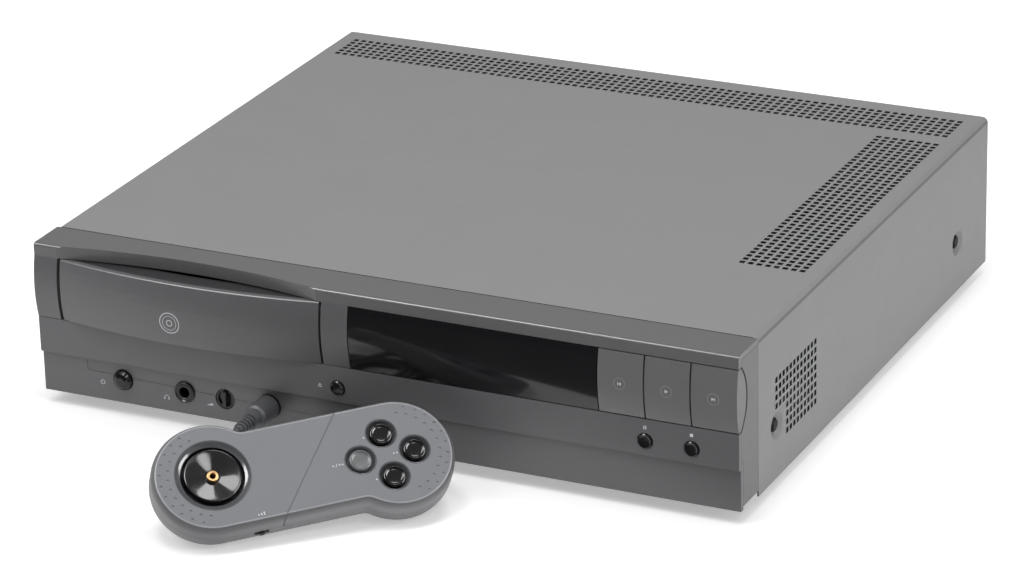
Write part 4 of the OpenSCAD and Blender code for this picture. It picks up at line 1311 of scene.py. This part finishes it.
@dataclass
class Controller:
    """Two-lobed hand controller, in its own frame: X along it, Y up its face, Z out of its face.

    Attributes:
        place: Middle of the thumb well on the drawing.
        tilt: Tilt of the face from flat, in degrees.
        turn: Turn about the vertical, in degrees.
        lobe: Radius of the lobes at the top face.
        lobe_at: Middle of the thumb disc's lobe.
        span: Distance between the lobes.
        slope: Slope of the straight edges, in degrees.
        neck: Radius of the hollow necks.
        shoulder: Radius of the round shoulder under the face's crisp edge.
        split: Depth of the seam between the shells.
        belly: Depth at which the lower shell begins to round in.
        belly_round: Radius of that rounding.
        belly_end: Angle at which the rounding meets the flat bottom, in degrees.
        floor: Depth of the inside.
        ledge: Depth inside at which the lower shell's wall thickens.
        well: Radius of the thumb well at the face.
        well_hole: Radius of the hole in the thumb well.
        button_well: Radius of a button's well at the face.
        button_hole: Radius of the hole in a button's well.
        plate: Thickness of the face.
        dimple_rows: Radius, count, first and last angle of each row of grip dimples.
        dimple_section: Radius and height of the rings in a grip dimple.
        groove_foot: Where the slanting groove leaves the lower edge.
        groove_head: Where it leaves the upper edge.
        groove: Width of the groove.
        buttons: Name and place of each button.
        button_section: Radius and height of a button's outline.
        screws: Places of the screws in the bottom.
        slot_size: Length, depth and height of the speed switch's slot.
        slot_at: Place of the slot along, into and above the lower edge.
        thumb_section: Radius and height of the thumb disc's outline, and its petals' swell.
        insert_section: Radius and height of the brass insert's outline.
        dots: Places of the white dots.
        slash: Corners of the slanting mark.
        bars: X of the bars beside the speed switch.
    """

    place: Point3 = (-38.1, -113.0, 35.0)
    tilt: float = 40.25
    turn: float = 40.0
    lobe: float = 29.1
    lobe_at: Point2 = (-1.1, -0.6)
    span: float = 99.0
    slope: float = 4.8
    neck: float = 9.0
    shoulder: float = 7.5
    split: float = 10.2
    belly: float = 14.2
    belly_round: float = 10.0
    belly_end: float = 75.0
    floor: float = 21.0
    ledge: float = 16.0
    well: float = 19.4
    well_hole: float = 16.9
    button_well: float = 7.8
    button_hole: float = 6.4
    plate: float = 2.6
    dimple_rows: tuple = ((22.8, 12, 80.0, -70.0), (26.8, 11, 72.0, -62.0))
    dimple_section: tuple[Point2, ...] = ((0.85, 0.0), (0.72, -0.3), (0.4, -0.4))
    groove_foot: Point2 = (34.56, -26.81)
    groove_head: Point2 = (70.95, 28.5)
    groove: float = 0.8
    buttons: tuple = (("north", (91.7, 11.3)), ("east", (107.6, 0.0)), ("south", (94.1, -13.7)),
                      ("west", (78.1, -2.3)))
    button_section: tuple[Point2, ...] = (
        (0.0, -0.64), (3.6, -0.64), (3.8, -0.6), (4.5, -0.44), (4.72, -0.3), (5.0, -0.02),
        (5.2, 0.08), (5.4, 0.06), (5.66, -0.08), (5.88, -0.34), (6.0, -0.7), (6.0, -3.0),
        (7.3, -3.0), (7.3, -4.4), (4.5, -4.4), (4.5, -8.0), (0.0, -8.0))
    screws: tuple[Point2, ...] = ((-21.2, -0.6), (118.0, -0.6), (33.0, 12.9), (46.0, -15.0))
    slot_size: Point3 = (7.8, 10.0, 3.4)
    slot_at: Point3 = (20.0, -1.0, -12.6)
    thumb_section: tuple[Point3, ...] = (
        (3.12, -4.6, 0.0), (3.12, -2.3, 0.0), (4.0, -2.3, 0.0), (4.5, -2.2, 0.03),
        (7.5, -1.59, 0.06), (10.5, -0.98, 0.06), (13.2, -0.43, 0.05), (13.6, -0.3, 0.0),
        (13.9, -0.2, 0.0), (14.2, -0.15, 0.0), (14.5, -0.16, 0.0), (14.8, -0.27, 0.0),
        (15.05, -0.5, 0.0), (15.2, -0.85, 0.0), (15.2, -3.2, 0.0), (12.0, -4.6, 0.0))
    insert_section: tuple[Point2, ...] = (
        (1.6, -4.8), (1.6, -1.0), (1.75, -0.72), (2.1, -0.58), (2.8, -0.58), (3.05, -0.75),
        (3.1, -1.0), (3.1, -4.8))
    dots: tuple[Point2, ...] = (
        (82.1, 10.05), (96.2, -0.9), (97.9, -0.75), (84.3, -14.5), (63.1, -3.9), (66.6, -3.5),
        (68.2, -3.5))
    slash: tuple[Point2, ...] = ((64.3, -4.7), (64.65, -4.7), (65.4, -2.7), (65.05, -2.7))
    bars: tuple[float, ...] = (19.2, 20.7, 22.2)

    def matrix(self) -> Matrix:
        """Transform from the controller's frame to the row frame.

        Returns:
            The transform, in metres.
        """
        tilt = Matrix.Rotation(math.radians(self.tilt), 4, "X")
        turn = Matrix.Rotation(math.radians(self.turn), 4, "Z")
        return Matrix.Translation(at(*self.place)) @ (turn @ tilt)

    def shoulder_levels(self) -> list[Point2]:
        """Levels of the round shoulder.

        Returns:
            Outward shift and height, from the wall up to the edge.
        """
        start = math.radians(45.0)
        angles = [math.radians(a) for a in (90.0, 82.0, 74.0, 66.0, 58.0, 52.0, 47.5)]
        return [(self.shoulder * (math.sin(a) - math.sin(start)),
                 self.shoulder * (math.cos(a) - math.cos(start))) for a in angles]

    def side(self) -> float:
        """Outward shift of the wall from the face's edge."""
        return self.shoulder_levels()[0][0]

    def outline(self, out: float) -> Loop:
        """Outline of the shell, moved outward.

        Args:
            out: Outward shift.

        Returns:
            The outline as a loop.
        """
        slope, reach = math.radians(self.slope), self.lobe + self.neck
        rise = reach - self.span * math.sin(slope)
        run = self.span * math.cos(slope) - math.sqrt(reach ** 2 - rise ** 2)
        cx = reach * math.sin(slope) + run * math.cos(slope)
        cy = -reach * math.cos(slope) + run * math.sin(slope)
        lean = math.degrees(math.atan2(-cy, self.span - cx))
        lobe, neck = self.lobe + out, self.neck - out
        loop = (arc(ORIGIN, lobe, lean, 270 + self.slope, 64)
                + arc((cx, cy), neck, 90 + self.slope, lean, 12)[:-1]
                + arc((self.span, 0.0), lobe, lean - 180, 90 + self.slope, 64)
                + arc((self.span - cx, -cy), neck, 270 + self.slope, 180 + lean, 12)[:-1])
        return [(x + self.lobe_at[0], y + self.lobe_at[1]) for x, y in loop]

    def rings(self, bm: BMesh, levels: Iterable[Point2]) -> list[Ring]:
        """Rings of the outline, each with its outward shift and height."""
        return [ring_at(bm, self.outline(out), height) for out, height in levels]

    def put(self, bm: BMesh, name: str, sharp: float = SHARP) -> Object:
        """Stand a closed mesh, made in the controller's frame, in its place.

        Args:
            bm: The mesh, which is freed.
            name: Name of the object.
            sharp: Angle above which an edge stays sharp, in degrees.

        Returns:
            The object.
        """
        made = solid(bm, name, sharp)
        made.matrix_world = self.matrix()
        return made

    @staticmethod
    def carve(shell: Object, tool: BMesh, place: Matrix) -> None:
        """Cut a closed tool out of a shell.

        Args:
            shell: The shell.
            tool: The tool's mesh, which is freed.
            place: The tool's transform.
        """
        cutter = solid(tool, "cutter")
        cutter.matrix_world = place
        cut = shell.modifiers.new("cut", "BOOLEAN")
        cut.operation = "DIFFERENCE"
        cut.solver = "EXACT"
        cut.object = cutter
        settle(shell)
        bpy.data.objects.remove(cutter)

    def dimples(self) -> list[Point2]:
        """Places of the small grip dimples at both ends.

        Returns:
            Middles of the dimples.
        """
        made = []
        x0, y0 = self.lobe_at
        for radius, count, first, last in self.dimple_rows:
            for x, y in arc(ORIGIN, radius, first, last, count - 1):
                made += [(x0 + self.span + x, y0 + y), (x0 - x, y0 - y)]
        return made

    def build(self) -> None:
        """Make the shells, the thumb disc, the buttons and the marks."""
        self.top_shell()
        self.bottom_shell()
        self.thumb()
        self.keys()
        self.marks()

    def wells(self) -> list[tuple[Point2, int, list[Point2]]]:
        """Wells of the thumb disc and the buttons.

        Returns:
            Middle, steps and section of each well.
        """
        wide, hole, plate = self.well, self.well_hole, self.plate
        section = [
            (wide + 0.8, 0.0), (wide + 0.5, 0.0), (wide + 0.15, -0.05), (wide, -0.2),
            (hole + 1.75, -0.9), (hole + 1.3, -1.2), (hole + 0.8, -1.47), (hole + 0.35, -1.69),
            (hole + 0.1, -1.79), (hole, -1.95), (hole, -plate)]
        made = [(ORIGIN, 112, section)]
        wide, hole = self.button_well, self.button_hole
        section = [
            (wide + 0.8, 0.0), (wide + 0.5, 0.0), (wide + 0.15, -0.06), (wide, -0.22),
            (hole + 0.5, -plate + 0.5), (hole, -plate + 0.2), (hole, -plate)]
        return made + [(spot, 64, section) for _, spot in self.buttons]

    def top_shell(self) -> None:
        """Upper shell with its wells, grip dimples and slanting groove."""
        bm = bmesh.new()
        outer = self.rings(bm, [(self.side(), -self.split)] + self.shoulder_levels())
        # The wall and shoulder get painted shade, darker towards the face's edge.
        bridge(bm, outer, 2)
        edge = ((0.03, -0.09), (-0.12, -0.02), (-0.3, 0.0), (-0.6, 0.0))
        rim = [outer[-1]] + self.rings(bm, edge)
        # The narrow band at the face's edge is lighter, a painted highlight of the rim line.
        bridge(bm, rim, 3)
        inner = self.rings(bm, ((-0.6, -self.split), (-0.6, -self.plate)))
        bridge(bm, outer[:1] + inner)
        tops, bottoms = [rim[-1]], [inner[-1]]
        for spot, count, section in self.wells():
            # Well walls take material 1, darkened as painted shade.
            top, bottom = sleeve(bm, spot, section, count, 1)
            tops.append(top)
            bottoms.append(bottom)
        for spot in self.dimples():
            top, pit = sleeve(bm, spot, self.dimple_section, 14)
            bm.faces.new(pit)
            tops.append(top)
        fill(bm, tops)
        fill(bm, bottoms)
        shell = self.put(bm, "controller_top", 24.0)
        paint(shell, PAD_PLASTIC, PAD_WELL_PAINTED_SHADE, PAD_WALL_PAINTED_SHADE, PAD_EDGE_PAINTED_HIGHLIGHT)
        self.cut_groove(shell)
        dress(shell, None, CONSOLE, "pad_plastic", "pad_top_shell")

    def cut_groove(self, shell: Object) -> None:
        """Cut the slanting groove across the face and down the lower wall to the seam.

        Args:
            shell: The upper shell.
        """
        depth, wall_depth, clear, beyond = 0.5, 0.35, 1.0, -8.0
        foot, head = Vector((*self.groove_foot, 0.0)), Vector((*self.groove_head, 0.0))
        along = (head - foot).normalized()
        across = Vector((-along.y, along.x, 0.0)) * (self.groove / 2)
        lean = math.sin(math.atan2(along.y, along.x) - math.radians(self.slope))
        reach, low = (head - foot).length, -self.split - 0.1
        levels = [(self.side(), low)] + self.shoulder_levels()
        section = ([(reach, clear), (beyond, clear), (beyond, low)]
                   + [((wall_depth - out) / lean, height) for out, height in levels]
                   + [(1.0, -depth), (reach, -depth)])
        bm = bmesh.new()
        sides = [[bm.verts.new((foot + along * run + across * side + Vector((0.0, 0.0, h))) * MM)
                  for run, h in section] for side in (-1, 1)]
        for side in sides:
            bm.faces.new(side)
        bridge(bm, sides)
        self.carve(shell, bm, shell.matrix_world)

    def bottom_shell(self) -> None:
        """Rounded lower shell with screw holes in its bottom and the slot for the speed switch."""
        bm = bmesh.new()
        side, top = self.side(), -self.split - 0.2
        levels = [(side - 0.4, top), (side - 0.1, top - 0.05), (side, top - 0.2)]
        for a in (math.radians(self.belly_end * k / 10) for k in range(11)):
            levels.append((side - self.belly_round * (1 - math.cos(a)),
                           -self.belly - self.belly_round * math.sin(a)))
        outside = self.rings(bm, levels)
        wall, thick_wall = -0.8, -3.6
        inside = self.rings(bm, ((wall, top), (wall, -self.ledge), (thick_wall, -self.ledge),
                                 (thick_wall, -self.floor)))
        bridge(bm, outside)
        bridge(bm, inside)
        bridge(bm, (outside[0], inside[0]))
        bottoms, floors = [outside[-1]], [inside[-1]]
        bottom, seat, bore, shank = levels[-1][1], -self.floor - 1.3, 3.0, 1.6
        for spot in self.screws:
            low, high = sleeve(bm, spot, [(bore, bottom), (bore, seat), (shank, seat),
                                          (shank, -self.floor)], 32)
            bottoms.append(low)
            floors.append(high)
        fill(bm, bottoms)
        fill(bm, floors)
        shell = self.put(bm, "controller_bottom", 24.0)
        tool = bmesh.new()
        bmesh.ops.create_cube(tool, size=1.0)
        bmesh.ops.scale(tool, vec=[size * MM for size in self.slot_size], verts=tool.verts)
        self.carve(shell, tool, self.matrix() @ self.edge_place(*self.slot_at))
        # The painted shade of this finish lies above the seam, so this shell keeps the plain tone.
        dress(shell, PAD_WALL_PAINTED_SHADE, CONSOLE, "pad_plastic", "pad_bottom_shell")

    def edge_place(self, along: float, inward: float, height: float) -> Matrix:
        """Transform to a spot on the lower straight edge, X along it and Y into the controller.

        Args:
            along: Distance along the edge.
            inward: Shift from the edge into the controller.
            height: Height above the face.

        Returns:
            The transform in the controller's frame.
        """
        slope = Matrix.Rotation(math.radians(self.slope), 4, "Z")
        lobe = Matrix.Translation(Vector((*self.lobe_at, 0.0)) * MM) @ slope
        return lobe @ Matrix.Translation(Vector((along, inward - self.lobe, height)) * MM)

    def thumb(self) -> None:
        """Dished thumb disc with eight faint petals, its two lugs and the brass insert."""
        petals, steps, lean = 8, 16, math.radians(-6.0)
        angles = [2 * math.pi * i / (petals * steps) for i in range(petals * steps)]
        bm = bmesh.new()
        rings = []
        for radius, height, swell in self.thumb_section:
            rings.append([bm.verts.new((
                radius * MM * math.cos(a + lean), radius * MM * math.sin(a + lean),
                (height + swell * abs(math.sin(a * petals / 2))) * MM)) for a in angles])
        bridge(bm, rings + rings[:1])
        disc = self.put(bm, "thumb_plate", 40.0)
        dress(disc, THUMB_GLOSS, "thumb_body", "gloss_black", "thumb_disc")
        self.thumb_lugs()
        insert = self.put(lathe(self.insert_section, 48), "brass_insert")
        dress(insert, TURNED_BRASS, "thumb_body", "brass", "thumb_insert")

    def thumb_lugs(self) -> None:
        """Two lugs under the thumb disc, bored for the gimbal's pins."""
        wide, top, pin_z, bore, offset, half = 3.0, -4.4, -10.0, 1.25, 5.6, 1.0
        foot = arc((0.0, pin_z), wide, 180.0, 360.0, 16)[1:-1]
        outline = [(-wide, top), (-wide, pin_z)] + foot + [(wide, pin_z), (wide, top)]
        loops = [outline, circle((0.0, pin_z), bore, 24)]
        bm = bmesh.new()
        for side in (-1, 1):
            thin_solid(bm, loops, lambda u, v: Vector((u, side * offset - half, v)) * MM,
                       lambda u, v: Vector((u, side * offset + half, v)) * MM)
        lugs = self.put(bm, "thumb_lugs")
        dress(lugs, BLACK_PLASTIC, "thumb_body", "gloss_black", "thumb_disc")

    def keys(self) -> None:
        """Four dished buttons, the west one grey."""
        for name, (x, y) in self.buttons:
            bm = lathe(self.button_section, 64)
            bmesh.ops.translate(bm, vec=(x * MM, y * MM, 0.0), verts=bm.verts)
            made = self.put(bm, f"{name}_button", 40.0)
            finish, slot = BUTTON_GLOSS, "gloss_black"
            if name == "west":
                finish, slot = GREY_BUTTON, "pad_plastic"
            dress(made, finish, f"pad_{name}_body", slot, f"pad_button_{name}")

    def marks(self) -> None:
        """White dots beside the buttons and bars beside the speed switch."""
        dot, bar, foot, head, step, proud, sunk = 0.45, 0.7, -26.1, -25.2, 0.5, 0.05, -0.1
        loops = [circle(spot, dot, 16) for spot in self.dots] + [list(self.slash)]
        for k, x in enumerate(self.bars):
            loops.append(box_loop(x, foot, x + bar, head + step * k))
        bm = bmesh.new()
        for loop in loops:
            thin_solid(bm, [loop], lambda u, v: Vector((u, v, proud)) * MM,
                       lambda u, v: Vector((u, v, sunk)) * MM)
        dress(self.put(bm, "controller_marks"), PRINT_INK, CONSOLE, "pad_plastic")


# Nodes that keep their solid


@dataclass
class Solids:
    """Nodes shown as they are packed, with their own finishes and softened edges.

    Attributes:
        soften: Bevel width for each visible moulded node.
        crease: Angle above which an edge is bevelled, in degrees.
    """

    soften: tuple = (
        ("fascia_frame", 0.35), ("fascia_cap", 0.35), ("fascia_panel", 0.3), ("drawer_front", 0.45),
        ("display_window", 0.2), ("previous_key", 0.4), ("play_key", 0.4), ("next_key", 0.4),
        ("controller_plug", 0.3), ("volume_knob", 0.25))
    crease: float = 40.0

    def build(self) -> None:
        """Give every node its finish and bevel the moulded edges."""
        slots = {part["node"]: part["material_slot"] for part in frame["record"]["subparts"]}
        for name, obj in frame["nodes"].items():
            obj.data.materials.clear()
            paint(obj, NODE_FINISH.get(name, SLOT_FINISH[slots[name]]))
        for name, width in self.soften:
            bevel = frame["nodes"][name].modifiers.new("softened_edges", "BEVEL")
            bevel.width = width * MM
            bevel.segments = 2
            bevel.limit_method = "ANGLE"
            bevel.angle_limit = math.radians(self.crease)


def main() -> None:
    """Build the studio, the cord and every sub-assembly in order."""
    logging.basicConfig(level=logging.INFO, format="%(name)s: %(message)s")
    Studio().build()
    Solids().build()
    Cord().build()
    Cover().build()
    Fascia().build()
    Controller().build()


if __name__ == "__main__":
    main()
